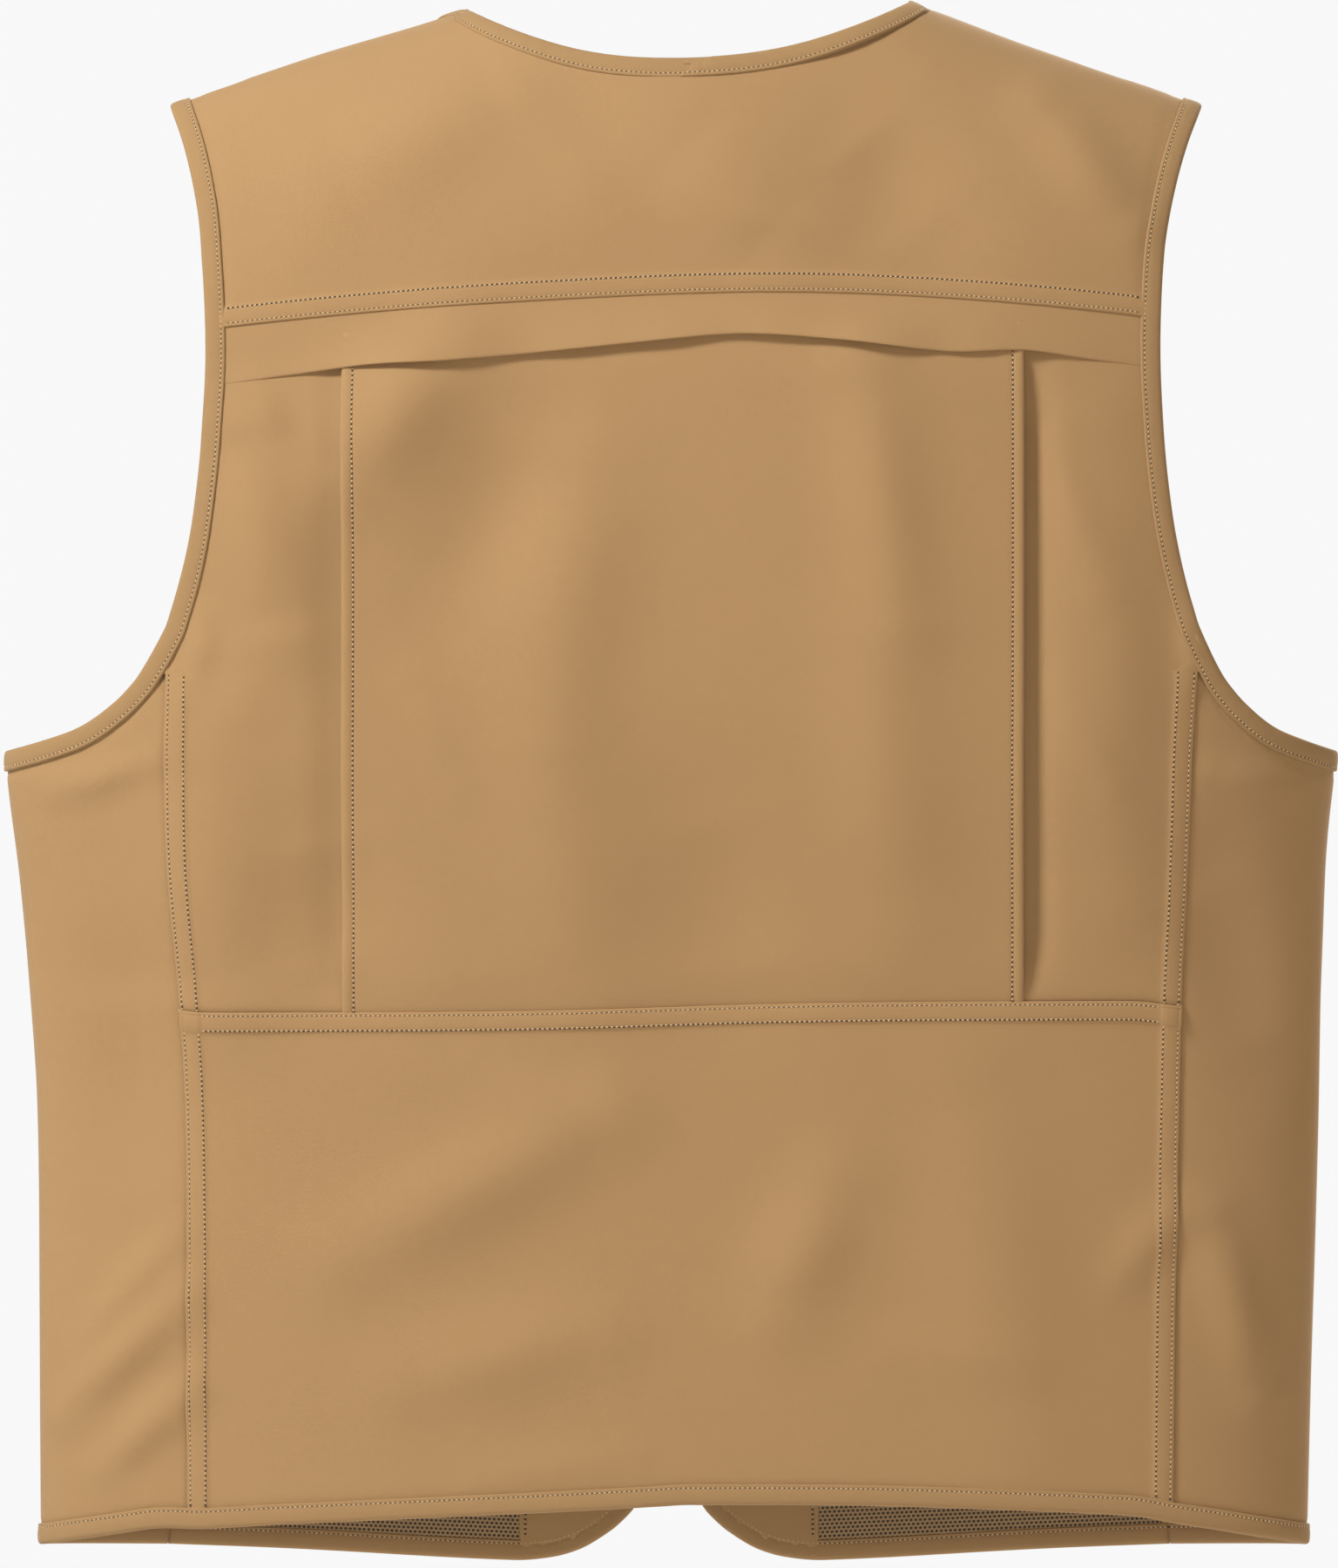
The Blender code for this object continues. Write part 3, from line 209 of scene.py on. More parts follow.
def ease(value, low, high):
    """0 below low, 1 above high, and smooth between."""
    t = np.clip((np.asarray(value, float) - low) / (high - low), 0, 1)
    return t * t * (3 - 2 * t)


def unit(v):
    return v / np.maximum(np.linalg.norm(v, axis=-1, keepdims=True), 1e-12)


def run_of(points):
    """The distance run to each point of a row of points."""
    return np.concatenate([[0], np.cumsum(np.linalg.norm(np.diff(points, axis=0), axis=1))])


def between(first, last, share):
    return first + (last - first) * share


def shoulder(x):
    run = np.hypot(x, SHOULDER_CROWN) - math.hypot(NECK_SEAM_X, SHOULDER_CROWN)
    return SHOULDER_NECK_Z - SHOULDER_SLOPE * run


def half_width(z):
    return smooth(HALF_WIDTH, z)


def depth_and_power(z, back):
    share = (FRONT_SEAM_X / half_width(z)) ** SIDE_POWER
    front_power = math.log(FRONT_SEAM_Y / FRONT_DEPTH) / np.log(1 - share)
    return np.where(back, smooth(BACK_DEPTH, z), FRONT_DEPTH), np.where(back, BACK_POWER, front_power)


def level(x, z, side):
    """How far round the shoulder a height is: 0 on the shoulder line, 1 at the back's full depth."""
    drop = np.maximum(shoulder(x) - z, 0.0)
    low = np.arccos(np.clip(1 - drop / ROUNDING, -1, 1)) / (math.pi / 2)
    return side * np.where(drop < ROUNDING, low, 1 + (drop - ROUNDING) / (ROUNDING * math.pi / 2))


def body(x, turn):
    """The surface at x: turn is the level, above 0 on the back and below 0 on the front."""
    x, turn = np.broadcast_arrays(np.asarray(x, float), np.asarray(turn, float))
    angle = np.minimum(abs(turn), 1) * math.pi / 2
    z = shoulder(x) - ROUNDING * (1 - np.cos(angle)) - np.maximum(abs(turn) - 1, 0) * ROUNDING * math.pi / 2
    depth, power = depth_and_power(z, turn > 0)
    fullness = np.maximum(1 - (abs(x) / half_width(z)) ** SIDE_POWER, 0) ** power
    return np.stack([x, np.copysign(depth * fullness * np.sin(angle), turn), z], -1)


def flank(angle, z):
    """The surface round the wearer's left side: the angle is 0 at the centre back."""
    angle, z = np.broadcast_arrays(np.asarray(angle, float), np.asarray(z, float))
    depth, power = depth_and_power(z, angle < math.pi / 2)
    x = half_width(z) * np.sin(angle) ** (2 / SIDE_POWER)
    cosine = np.cos(angle)
    return np.stack([x, np.copysign(depth * abs(cosine) ** (2 * power), cosine), z], -1)


STEP = 1e-4


def fold_height(p):
    """How far the soft folds lift the cloth at a point."""
    height = np.zeros(p.shape[:-1])
    behind = ease(p[..., 1], -0.005, 0.02)
    for folds, share in ((BACK_FOLDS, behind), (FRONT_FOLDS, ease(-p[..., 1], 0.02, 0.045))):
        for x0, z0, x1, z1, width, lift in folds:
            along = np.array([x1 - x0, z1 - z0])
            away = np.stack([p[..., 0] - x0, p[..., 2] - z0], -1)
            t = np.clip(away @ along / (along @ along), 0, 1)
            distance = np.linalg.norm(away - t[..., None] * along, axis=-1)
            taper = 0.35 + 0.65 * np.sin(math.pi * np.clip(t, 0.08, 0.92))
            height += lift * MM * taper * np.exp(-((distance / width) ** 2)) * share
    return height


def off(chart, a, b, out=0.0, side=1):
    """The points this far outward from the surface, and the directions outward there."""
    across = chart(a + STEP, b) - chart(a - STEP, b)
    along = chart(a, b + STEP) - chart(a, b - STEP)
    normal = unit(np.cross(across, along)) * (1 if chart is body else -1)
    point = chart(a, b)
    if side < 0:
        point, normal = point * (-1, 1, 1), normal * (-1, 1, 1)
    return point + normal * (np.asarray(out) + fold_height(point))[..., None], normal


def lean(p):
    """Hangs the back and the sides a little askew, as a worn garment does."""
    p = np.array(p, float)
    x, y, z = p[..., 0], p[..., 1], p[..., 2]
    far = np.clip(abs(x) / 0.295, 0, 1) ** 4
    behind = np.maximum(ease(y, -0.03, 0.01), ease(z, -0.17, -0.09) * ease(abs(x), 0.165, 0.205))
    shift = smooth(LEAN_MIDDLE, z) * (1 - far) + smooth(LEAN_SIDES, z) * far
    p[..., 0] = x + shift * behind
    high = ease(z, -0.11, -0.06)
    fade = 1 - ease(abs(x), 0.205 - 0.105 * high, 0.235 - 0.070 * high)
    p[..., 2] = z - 0.0026 * np.tanh(x / 0.08) * fade * behind
    return p


def on_back(x, z):
    return x, level(x, z, 1)


def on_front(x, z):
    return x, level(x, z, -1)


def flank_angle(x, z, back):
    turn = np.arcsin(np.minimum((x / half_width(z)) ** (SIDE_POWER / 2), 1.0))
    return turn if back else math.pi - turn


def inset(chart, route, at, distance):
    """The place this far from a route on the surface, towards the cloth that the route edges."""
    a, b = route(at)
    ahead = chart(*route(at + STEP)) - chart(*route(at - STEP))
    da = (chart(a + STEP, b) - chart(a - STEP, b)) / (2 * STEP)
    db = (chart(a, b + STEP) - chart(a, b - STEP)) / (2 * STEP)
    normal = unit(np.cross(da, db)) * (1 if chart is body else -1)
    move = unit(np.cross(normal, ahead)) * distance

    def dot(p, q):
        return np.sum(p * q, axis=-1)

    e, f, g = dot(da, da), dot(da, db), dot(db, db)
    p, q = dot(da, move), dot(db, move)
    scale = e * g - f * f
    return a + (g * p - f * q) / scale, b + (e * q - f * p) / scale


# ---- Edges, each a route over the surface ----


def neck_z(x):
    return -NECK_DROP * (1 - np.minimum(abs(x) / NECK_X, 1) ** NECK_POWER)


def neck_back(at):
    x = NECK_X * np.sin(at * math.pi / 2)
    return on_back(x, neck_z(x))


def by_turn(table, turn, guess):
    x = guess + 0 * turn
    for _ in range(6):
        x = smooth(table, body(x, turn)[..., 2])
    return x, turn


def neck_front(turn):
    return by_turn(V_EDGE, turn, NECK_X)


def armhole(turn):
    back = by_turn(ARMHOLE_BACK, turn, SHOULDER_TIP_X)[0]
    return np.where(turn > 0, back, by_turn(ARMHOLE_FRONT, turn, SHOULDER_TIP_X)[0]), turn


def round_side(angle, z_guess, back_table, front_table):
    x = half_width(z_guess) * np.sin(angle) ** (2 / SIDE_POWER)
    return angle, np.where(angle < math.pi / 2, smooth(back_table, x), smooth(front_table, x))


def underarm(angle):
    return round_side(angle, -0.345, UNDERARM_BACK, UNDERARM_FRONT)


def side_hem(angle):
    return round_side(angle, -0.69, HEM_BACK, HEM_FRONT_SIDE)


def back_hem(x):
    return on_back(x, smooth(HEM_BACK, abs(x)))


def along(points, share):
    points = np.array(points)
    lengths = run_of(points)
    found = smooth(np.column_stack([lengths, points]), share * lengths[-1])
    return found[..., 0], found[..., 1]


def front_edge(share):
    return on_front(*along(FRONT_EDGE, share))


def front_hem(share):
    return on_front(*along(FRONT_HEM, share))


def yoke_seam(x):
    return YOKE_SEAM_Z - YOKE_SEAM_DIP * (x / CROSS_HALF) ** 2


def table_of(chart, route, stops, distance, order):
    """Where the cloth ends beside an edge, by its height or by how far round it is."""
    a, b = inset(chart, route, np.asarray(stops), distance)
    rows = {"turn": (b, a), "height": (chart(a, b)[:, 2], a), "angle": (a, b)}[order]
    return np.array(sorted(zip(*rows)))


CLOTH_INSET = 1.5 * MM
ARMHOLE_BACK_TURNS = table_of(body, armhole, np.linspace(0.02, 1.95, 70), CLOTH_INSET, "turn")
ARMHOLE_FRONT_TURNS = table_of(body, armhole, np.linspace(-1.9, -0.02, 70), CLOTH_INSET, "turn")
ARMHOLE_BACK_Z = table_of(body, armhole, np.linspace(0.02, 1.95, 70), CLOTH_INSET, "height")
ARMHOLE_FRONT_Z = table_of(body, armhole, np.linspace(-1.9, -0.02, 70), CLOTH_INSET, "height")
NECK_FRONT_TURNS = table_of(body, neck_front, np.linspace(-1.6, -0.02, 70), -CLOTH_INSET, "turn")
UNDERARM_Z = table_of(flank, underarm, np.linspace(0.70, 2.50, 90), CLOTH_INSET, "angle")

# ---- Materials ----

KHAKI = (0.300, 0.171, 0.0705)
BINDING_KHAKI = (0.278, 0.160, 0.066)
THREAD = (0.430, 0.270, 0.122)
# Near-black, for the discs at the needle holes: painted shade.
NEEDLE_HOLE_SHADE = (0.045, 0.025, 0.010)
MESH_TAN = (0.245, 0.152, 0.073)
WEBBING_KHAKI = (0.235, 0.145, 0.066)
BRASS = (0.300, 0.205, 0.095)
NYLON = (0.215, 0.135, 0.060)
LABEL_ECRU = (0.560, 0.460, 0.320)


class Nodes:
    """A short way to add and join the nodes of one material."""

    def __init__(self, name, roughness, specular=0.5, metallic=0.0, sheen=0.0):
        self.material = bpy.data.materials.new(name)
        self.material.use_nodes = True
        self.tree = self.material.node_tree
        self.shader = self.tree.nodes["Principled BSDF"]
        for socket, value in (
            ("Roughness", roughness),
            ("Specular IOR Level", specular),
            ("Metallic", metallic),
            ("Sheen Weight", sheen),
        ):
            self.shader.inputs[socket].default_value = value

    def add(self, kind, **values):
        """A shader node. Values are settings, inputs by name, or inputs by number, as i0 and i1."""
        node = self.tree.nodes.new("ShaderNode" + kind)
        for key, value in values.items():
            if hasattr(node, key):
                setattr(node, key, value)
        for key, value in values.items():
            if not hasattr(node, key):
                numbered = key[0] == "i" and key[1:].isdigit()
                self.feed(node.inputs[int(key[1:]) if numbered else key], value)
        return node

    def feed(self, socket, value):
        if isinstance(value, bpy.types.NodeSocket):
            self.tree.links.new(value, socket)
        else:
            socket.default_value = value

    def math(self, operation, first, second=0.0):
        return self.add("Math", operation=operation, i0=first, i1=second).outputs[0]

    def times(self, first, second):
        return self.math("MULTIPLY", first, second)

    def plus(self, first, second):
        return self.math("ADD", first, second)

    def places(self):
        """The texture coordinates, and the distances run across and along the cloth."""
        spot = self.add("TexCoord")
        return spot, self.add("SeparateXYZ", Vector=spot.outputs["UV"]).outputs[:2]

    def noise(self, vector, scale, detail=2.0):
        return self.add("TexNoise", Vector=vector, Scale=scale, Detail=detail).outputs["Fac"]

    def mix(self, factor, first, second, blend="MIX"):
        node = self.tree.nodes.new("ShaderNodeMix")
        node.data_type = "RGBA"
        node.blend_type = blend
        for index, value in ((0, factor), (6, first), (7, second)):
            self.feed(node.inputs[index], value)
        return node.outputs[2]

    def finish(self, colour, height=None, strength=0.3, distance=0.2 * MM):
        self.tree.links.new(colour, self.shader.inputs["Base Color"])
        if height is not None:
            bump = self.add("Bump", Strength=strength, Distance=distance, Height=height)
            self.tree.links.new(bump.outputs[0], self.shader.inputs["Normal"])
        return self.material


def shade(colour, factor):
    return (*(min(c * factor, 1.0) for c in colour), 1.0)


def cloth_material(name, colour, yarn=0.45 * MM, weave=0.35, mottle=0.05, sheen=0.12):
    """A fine twill: crossing yarns that lie diagonally, slow colour drift, and fibres along the surface."""
    n = Nodes(name, 0.92, specular=0.22, sheen=sheen)
    n.shader.inputs["Sheen Roughness"].default_value = 0.45
    n.shader.inputs["Sheen Tint"].default_value = (1.0, 0.86, 0.62, 1.0)
    spot, (across, along) = n.places()
    turns = 2 * math.pi / yarn
    warp = n.math("SINE", n.times(across, turns))
    weft = n.math("SINE", n.times(along, turns))
    slant = n.times(n.plus(across, along), turns / 2)
    twill = n.math("SINE", slant)
    yarns = n.plus(n.times(n.plus(warp, weft), 0.25), n.times(twill, 0.5))
    drift = n.noise(spot.outputs["Object"], 7.0, 3.0)
    grain = n.noise(spot.outputs["Object"], 900.0, 2.0)
    slub = n.noise(spot.outputs["Object"], 160.0, 2.0)
    tone = n.mix(drift, shade(colour, 1 - mottle), shade(colour, 1 + mottle))
    tone = n.mix(n.times(grain, 0.28), tone, shade(colour, 0.80))
    tone = n.mix(n.times(n.math("MAXIMUM", yarns, 0.0), 0.14), tone, shade(colour, 1.18))
    tone = n.mix(n.times(slub, 0.10), tone, shade(colour, 1.22))
    height = n.plus(n.times(yarns, 0.6), n.times(grain, 0.8))
    return n.finish(tone, height, weave, 0.09 * MM)


def mesh_material(name, colour):
    """Knitted mesh: rows of small holes, each row half a hole along from the one above, with painted shade in
    the holes.
    """
    pitch = 2.1 * MM
    n = Nodes(name, 0.85, specular=0.25, sheen=0.1)
    spot, (across, along) = n.places()
    beside = n.math("DIVIDE", across, pitch)
    down = n.math("DIVIDE", along, pitch * 0.86)
    row = n.math("FLOOR", down)
    odd = n.times(n.math("MODULO", row, 2.0), 0.5)
    u = n.math("SUBTRACT", n.math("FRACT", n.plus(beside, odd)), 0.5)
    v = n.math("SUBTRACT", n.math("FRACT", down), 0.5)
    radius = n.math("SQRT", n.plus(n.times(u, u), n.times(v, v)))
    hole = n.add("MapRange", i0=radius, i1=0.27, i2=0.40, i3=1.0, i4=0.0).outputs[0]
    fibre = n.noise(spot.outputs["Object"], 1400.0, 1.0)
    drift = n.noise(spot.outputs["Object"], 12.0, 2.0)
    yarn = n.mix(fibre, shade(colour, 0.95), shade(colour, 1.5))
    yarn = n.mix(n.times(drift, 0.3), yarn, shade(colour, 0.8))
    # The holes are painted near-black: painted shade of the dark cloth behind the mesh.
    tone = n.mix(hole, yarn, shade(colour, 0.16))
    return n.finish(tone, n.math("SUBTRACT", 1.0, hole), 0.6, 0.25 * MM)


def webbing_material(name, colour, rib=0.9 * MM):
    n = Nodes(name, 0.8, specular=0.3, sheen=0.15)
    spot, (across, along) = n.places()
    ribs = n.math("SINE", n.times(along, 2 * math.pi / rib))
    picks = n.math("SINE", n.times(across, 2 * math.pi / (rib * 1.4)))
    both = n.times(ribs, picks)
    grain = n.noise(spot.outputs["Object"], 1200.0, 2.0)
    tone = n.mix(n.plus(n.times(both, 0.25), 0.4), shade(colour, 0.8), shade(colour, 1.25))
    tone = n.mix(n.times(grain, 0.25), tone, shade(colour, 0.65))
    return n.finish(tone, n.plus(both, grain), 0.4, 0.15 * MM)


def metal_material(name, colour, roughness=0.36):
    """Brushed antique brass, darker in patches where it has tarnished."""
    n = Nodes(name, roughness, metallic=1.0)
    spot = n.add("TexCoord")
    patches = n.noise(spot.outputs["Object"], 260.0, 4.0)
    streaks = n.noise(n.add("Mapping", Vector=spot.outputs["Object"], Scale=(1, 1, 9)).outputs[0], 900.0, 2.0)
    tone = n.mix(patches, shade(colour, 0.72), shade(colour, 1.55))
    tone = n.mix(n.times(streaks, 0.3), tone, shade(colour, 0.5))
    rough = n.add("MapRange", i0=streaks, i1=0.3, i2=0.7, i3=roughness - 0.06, i4=roughness + 0.12)
    n.tree.links.new(rough.outputs[0], n.shader.inputs["Roughness"])
    return n.finish(tone, streaks, 0.12, 0.05 * MM)


def fibre_material(name, colour, twist=0.0, roughness=0.6):
    """Thread or moulded nylon: a little sheen and fine strands."""
    n = Nodes(name, roughness, specular=0.4, sheen=0.2)
    spot = n.add("TexCoord")
    strands = n.noise(spot.outputs["Object"], 1800.0, 2.0)
    drift = n.noise(spot.outputs["Object"], 30.0, 2.0)
    tone = n.mix(strands, shade(colour, 0.85), shade(colour, 1.15))
    tone = n.mix(n.times(drift, 0.2), tone, shade(colour, 0.85))
    return n.finish(tone, strands, 0.2 + twist, 0.05 * MM)


LOOKS = {
    "shell_cloth": cloth_material("vest_twill", KHAKI),
    "binding": cloth_material("vest_binding", BINDING_KHAKI, yarn=0.4 * MM, mottle=0.06),
    "mesh_lining": mesh_material("knitted_mesh", MESH_TAN),
    "webbing": webbing_material("woven_tape", WEBBING_KHAKI),
    "antique_brass": metal_material("antique_brass", BRASS),
    "zip_nylon": fibre_material("zip_nylon", NYLON, roughness=0.45),
    "label": cloth_material("label_cloth", LABEL_ECRU, yarn=0.3 * MM, mottle=0.03),
}
THREAD_LOOK = fibre_material("sewing_thread", THREAD, twist=0.2)
# The needle holes' look: near-black, painted shade.
HOLE_SHADE_LOOK = fibre_material("needle_hole_shade", NEEDLE_HOLE_SHADE, roughness=0.95)

# ---- Meshes ----


def add_object(name, points, faces, slot, looks=None, face_look=None, uv=None):
    """A smooth mesh object, which takes its finish from one of the record's slots."""
    mesh = bpy.data.meshes.new(name)
    mesh.from_pydata(np.asarray(points).reshape(-1, 3).tolist(), [], faces)
    mesh.polygons.foreach_set("use_smooth", np.ones(len(mesh.polygons), bool))
    for look in looks or [LOOKS[slot]]:
        mesh.materials.append(look)
    if face_look is not None:
        mesh.polygons.foreach_set("material_index", face_look)
    if uv is not None:
        corners = np.zeros(len(mesh.loops), np.int32)
        mesh.loops.foreach_get("vertex_index", corners)
        layer = mesh.uv_layers.new(name="UVMap")
        layer.data.foreach_set("uv", np.asarray(uv, np.float32).reshape(-1, 2)[corners].ravel())
    mesh.update()
    obj = bpy.data.objects.new(name, mesh)
    bpy.context.scene.collection.objects.link(obj)
    return obj


def grid_faces(rows, columns, closed_columns=False, flip=False):
    wide = columns if closed_columns else columns - 1
    r, c = np.meshgrid(np.arange(rows - 1), np.arange(wide), indexing="ij")
    n = (c + 1) % columns
    faces = np.stack([r * columns + c, r * columns + n, (r + 1) * columns + n, (r + 1) * columns + c], -1)
    faces = faces.reshape(-1, 4)
    return (faces[:, ::-1] if flip else faces).tolist()


def lengths_along(points, axis):
    """Distance run along an axis of a grid, from its first row or column."""
    steps = np.linalg.norm(np.diff(points, axis=axis), axis=-1)
    pad = [(0, 0), (0, 0)]
    pad[axis] = (1, 0)
    return np.cumsum(np.pad(steps, pad), axis=axis)


def facing_out(points, normals):
    a = points[1:, :-1] - points[:-1, :-1]
    b = points[:-1, 1:] - points[:-1, :-1]
    return np.sum(np.cross(b, a) * normals[:-1, :-1]) > 0


def sheet_object(name, points, normals, slot, thickness=0.6 * MM):
    """A cloth sheet whose outer face is the grid of points."""
    rows, columns = points.shape[:2]
    middle_u, middle_v = lengths_along(points, 1), lengths_along(points, 0)
    u, v = np.meshgrid(middle_u[rows // 2], middle_v[:, columns // 2])
    uv = np.stack([u, v], -1)
    faces = grid_faces(rows, columns, flip=not facing_out(points, normals))
    obj = add_object(name, lean(points), faces, slot, uv=uv)
    solid = obj.modifiers.new("cloth", "SOLIDIFY")
    solid.thickness = thickness
    solid.offset = -1
    return obj


# Profiles of cloth beside an edge, from its hidden end inward: (distance from the edge, lift) in millimetres.
FELLED = (
    (2.5, -0.45), (0.8, -0.42), (0.15, -0.28), (-0.05, 0.08), (0.05, 0.42), (0.35, 0.66), (0.8, 0.78),
    (1.25, 0.74), (1.6, 0.60), (1.95, 0.74), (2.5, 0.84), (4.3, 0.90), (6.6, 0.86), (7.7, 0.76),
    (8.2, 0.58), (8.6, 0.62), (9.1, 0.40), (9.8, 0.15), (11.0, 0.03), (13.0, 0.0),
)  # fmt: skip
FELLED_LINES = (1.6 * MM, 8.2 * MM)
UNDER = ((0.0, -0.85), (3.5, -0.8), (4.3, -0.55), (5.5, -0.22), (8.0, -0.04), (11.0, 0.0))
PINCHED = ((0.0, -0.35), (6.0, -0.35), (8.4, -0.32), (9.4, -0.2), (10.6, -0.04), (13.0, 0.0))
ROLLED = (
    (7.0, -1.5), (2.0, -1.45), (0.5, -1.3), (0.02, -1.0), (-0.12, -0.65), (0.04, -0.3), (0.4, -0.08),
    (1.2, 0.0),
)  # fmt: skip
PLEAT = (
    (9.0, -2.6), (3.0, -2.5), (1.0, -2.3), (0.2, -1.8), (-0.15, -1.1), (-0.05, -0.4), (0.3, 0.15), (0.9, 0.5),
    (2.2, 0.62), (3.8, 0.45), (4.7, 0.12), (5.1, -0.08), (5.5, 0.02), (6.2, 0.12), (8.0, 0.1), (12.0, 0.0),
)  # fmt: skip
PLEAT_LINE = 5.1 * MM


def ladder(length, step, first=(), last=()):
    """Places from 0 to 1 across a panel this long, and how far each stands proud."""
    first, last = (np.array(rows, float).reshape(-1, 2) * MM for rows in (first, last))
    low = first[-1, 0] if len(first) else 0.0
    high = length - (last[-1, 0] if len(last) else 0.0)
    middle = np.linspace(low, high, max(round((high - low) / step), 2) + 1)
    middle = middle[(1 if len(first) else 0) : (-1 if len(last) else None)]
    places = np.concatenate([first[:, 0], middle, length - last[::-1, 0]]) / length
    lifts = [first[:, 1], 0 * middle, last[::-1, 1]]
    return places, lifts


def coons(edges, u, v):
    """The places inside four edges, each given as a function from 0 to 1."""

    def pair(edge, t):
        return np.stack(np.broadcast_arrays(*edge(np.asarray(t, float))), -1)

    u, v = np.broadcast_arrays(np.asarray(u, float), np.asarray(v, float))
    low, high, left, right = (pair(edge, t) for edge, t in zip(edges, (u, u, v, v)))
    corners = [pair(edges[k], t) for k, t in ((0, 0.0), (0, 1.0), (1, 0.0), (1, 1.0))]
    u, v = u[..., None], v[..., None]
    found = (1 - v) * low + v * high + (1 - u) * left + u * right
    found -= (1 - u) * (1 - v) * corners[0] + u * (1 - v) * corners[1]
    found -= (1 - u) * v * corners[2] + u * v * corners[3]
    return found[..., 0], found[..., 1]


EDGE_ZONE = 14 * MM


class Panel:
    """A cloth panel inside four edges. height(u, v, point) gives the offset of its outer face.

    Where its nominal width or length is given, u or v runs evenly over the cloth, so that the edge
    profiles keep their true widths however the surface bends."""

    def __init__(self, edges, chart=body, side=1, height=1.2 * MM, wide=None, tall=None):
        self.edges, self.chart, self.side, self.height = edges, chart, side, height
        self.wide, self.tall = wide, tall

    def evenly(self, u, v, axis, nominal):
        """The u (axis 1) or v (axis 0) whose true distance from the nearer edge is the nominal one."""
        grid = np.linspace(0, 1, 61)
        other = np.linspace(0, 1, 41)
        along, across = np.meshgrid(grid, other)
        a, b = coons(self.edges, *((across, along) if axis == 0 else (along, across)))
        points = self.chart(a, b)
        run = lengths_along(points, 1)
        whole = run[:, -1]
        at, beside = (v, u) if axis == 0 else (u, v)
        row = np.clip(beside, 0, 1) * (len(other) - 1)
        low = np.minimum(row.astype(int), len(other) - 2)
        part = row - low
        length = whole[low] * (1 - part) + whole[low + 1] * part
        edge = min(EDGE_ZONE / nominal, 0.45)
        inner = nominal * (1 - 2 * edge)
        near = nominal * at
        stretched = nominal * edge + (near - nominal * edge) * (length - 2 * nominal * edge) / inner
        wanted = np.where(at < edge, near, np.where(at > 1 - edge, length - nominal * (1 - at), stretched))
        share = np.clip(wanted / length, 0, 1)
        even = np.array([np.interp(grid * whole[k], run[k], grid) for k in range(len(other))])
        spot = share * (len(grid) - 1)
        first = np.minimum(spot.astype(int), len(grid) - 2)
        rest = spot - first
        found = 0.0
        for k, weight in ((low, 1 - part), (low + 1, part)):
            found = found + weight * (even[k, first] * (1 - rest) + even[k, first + 1] * rest)
        return found

    def places(self, u, v, lift):
        u, v = np.broadcast_arrays(np.asarray(u, float), np.asarray(v, float))
        if self.tall:
            v = self.evenly(u, v, 0, self.tall)
        if self.wide:
            u = self.evenly(u, v, 1, self.wide)
        a, b = coons(self.edges, u, v)
        base = self.height(u, v, self.chart(a, b)) if callable(self.height) else self.height
        return off(self.chart, a, b, base + lift, self.side)

    def build(self, name, across, down, slot="shell_cloth", masks=(1, 1, 1, 1), thickness=0.6 * MM):
        """masks scale the lifts of the left, right, lower and upper edges: numbers or functions of (u, v)."""
        (us, left_right), (vs, low_high) = across, down
        u, v = np.meshgrid(us, vs)
        (left, right), (low, high) = self.ends(left_right), self.ends(low_high)
        lift = 0 * u
        for rows, mask in zip((left[None, :], right[None, :], low[:, None], high[:, None]), masks):
            lift = lift + rows * (mask(u, v) if callable(mask) else mask)
        points, normals = self.places(u, v, lift)
        return sheet_object(name, points, normals, slot, thickness)

    @staticmethod
    def ends(lifts):
        """A ladder's lifts at its first end alone and at its last end alone, each as long as the ladder."""
        first, middle, last = lifts
        return np.concatenate([first, 0 * middle, 0 * last]), np.concatenate([0 * first, 0 * middle, last])


# ---- Stitches ----

STITCH_PITCH = 2.2 * MM
STITCH_LENGTH = 1.28 * MM
STITCH_WIDE = 0.38 * MM
STITCH_TALL = 0.27 * MM
STITCH_RISE = 0.10 * MM
# Each needle hole is a flat dark disc of painted shade.
HOLE_RADIUS = 0.60 * MM
HOLE_RISE = 0.05 * MM
CORNERS = 6  # Of a stitch's section and of a hole.


def stitch_template():
    """A low capsule along its first axis, with its ends dipping into the cloth."""
    rings = ((-0.72, 0.85, -0.06), (0.0, 1.0, 0.05), (0.72, 0.85, -0.06))
    points = [(-1.0, 0, -0.16)]
    for x, size, lift in rings:
        for k in range(CORNERS):
            turn = 2 * math.pi * k / CORNERS
            points.append((x, size * math.cos(turn), size * math.sin(turn) + lift))
    points.append((1.0, 0, -0.16))
    last = 1 + CORNERS * (len(rings) - 1)
    faces = [[0, 1 + (k + 1) % CORNERS, 1 + k] for k in range(CORNERS)]
    for face in grid_faces(len(rings), CORNERS, closed_columns=True):
        faces.append([1 + k for k in face])
    faces += [[last + k, last + (k + 1) % CORNERS, last + CORNERS] for k in range(CORNERS)]
    return np.array(points), faces


def stitch_rows(lines, pitch):
    """Centres, directions and normals of the stitches along (points, normals) lines, and their holes."""
    centres, aheads, ups, ends = [], [], [], []
    for points, normals in lines:
        run = run_of(points)
        count = int(run[-1] / pitch)
        if count < 1:
            continue
        at = (np.arange(count) + 0.5) * run[-1] / count
        edge = np.arange(count + 1) * run[-1] / count

        def pick(values, where):
            return np.stack([np.interp(where, run, values[:, k]) for k in range(3)], -1)

        up = unit(pick(normals, at))
        after, before = np.minimum(at + pitch / 4, run[-1]), np.maximum(at - pitch / 4, 0)
        ahead = pick(points, after) - pick(points, before)
        centres.append(pick(points, at))
        aheads.append(unit(ahead - up * np.sum(ahead * up, -1, keepdims=True)))
        ups.append(up)
        ends.append((pick(points, edge), unit(pick(normals, edge))))
    return np.concatenate(centres), np.concatenate(aheads), np.concatenate(ups), ends


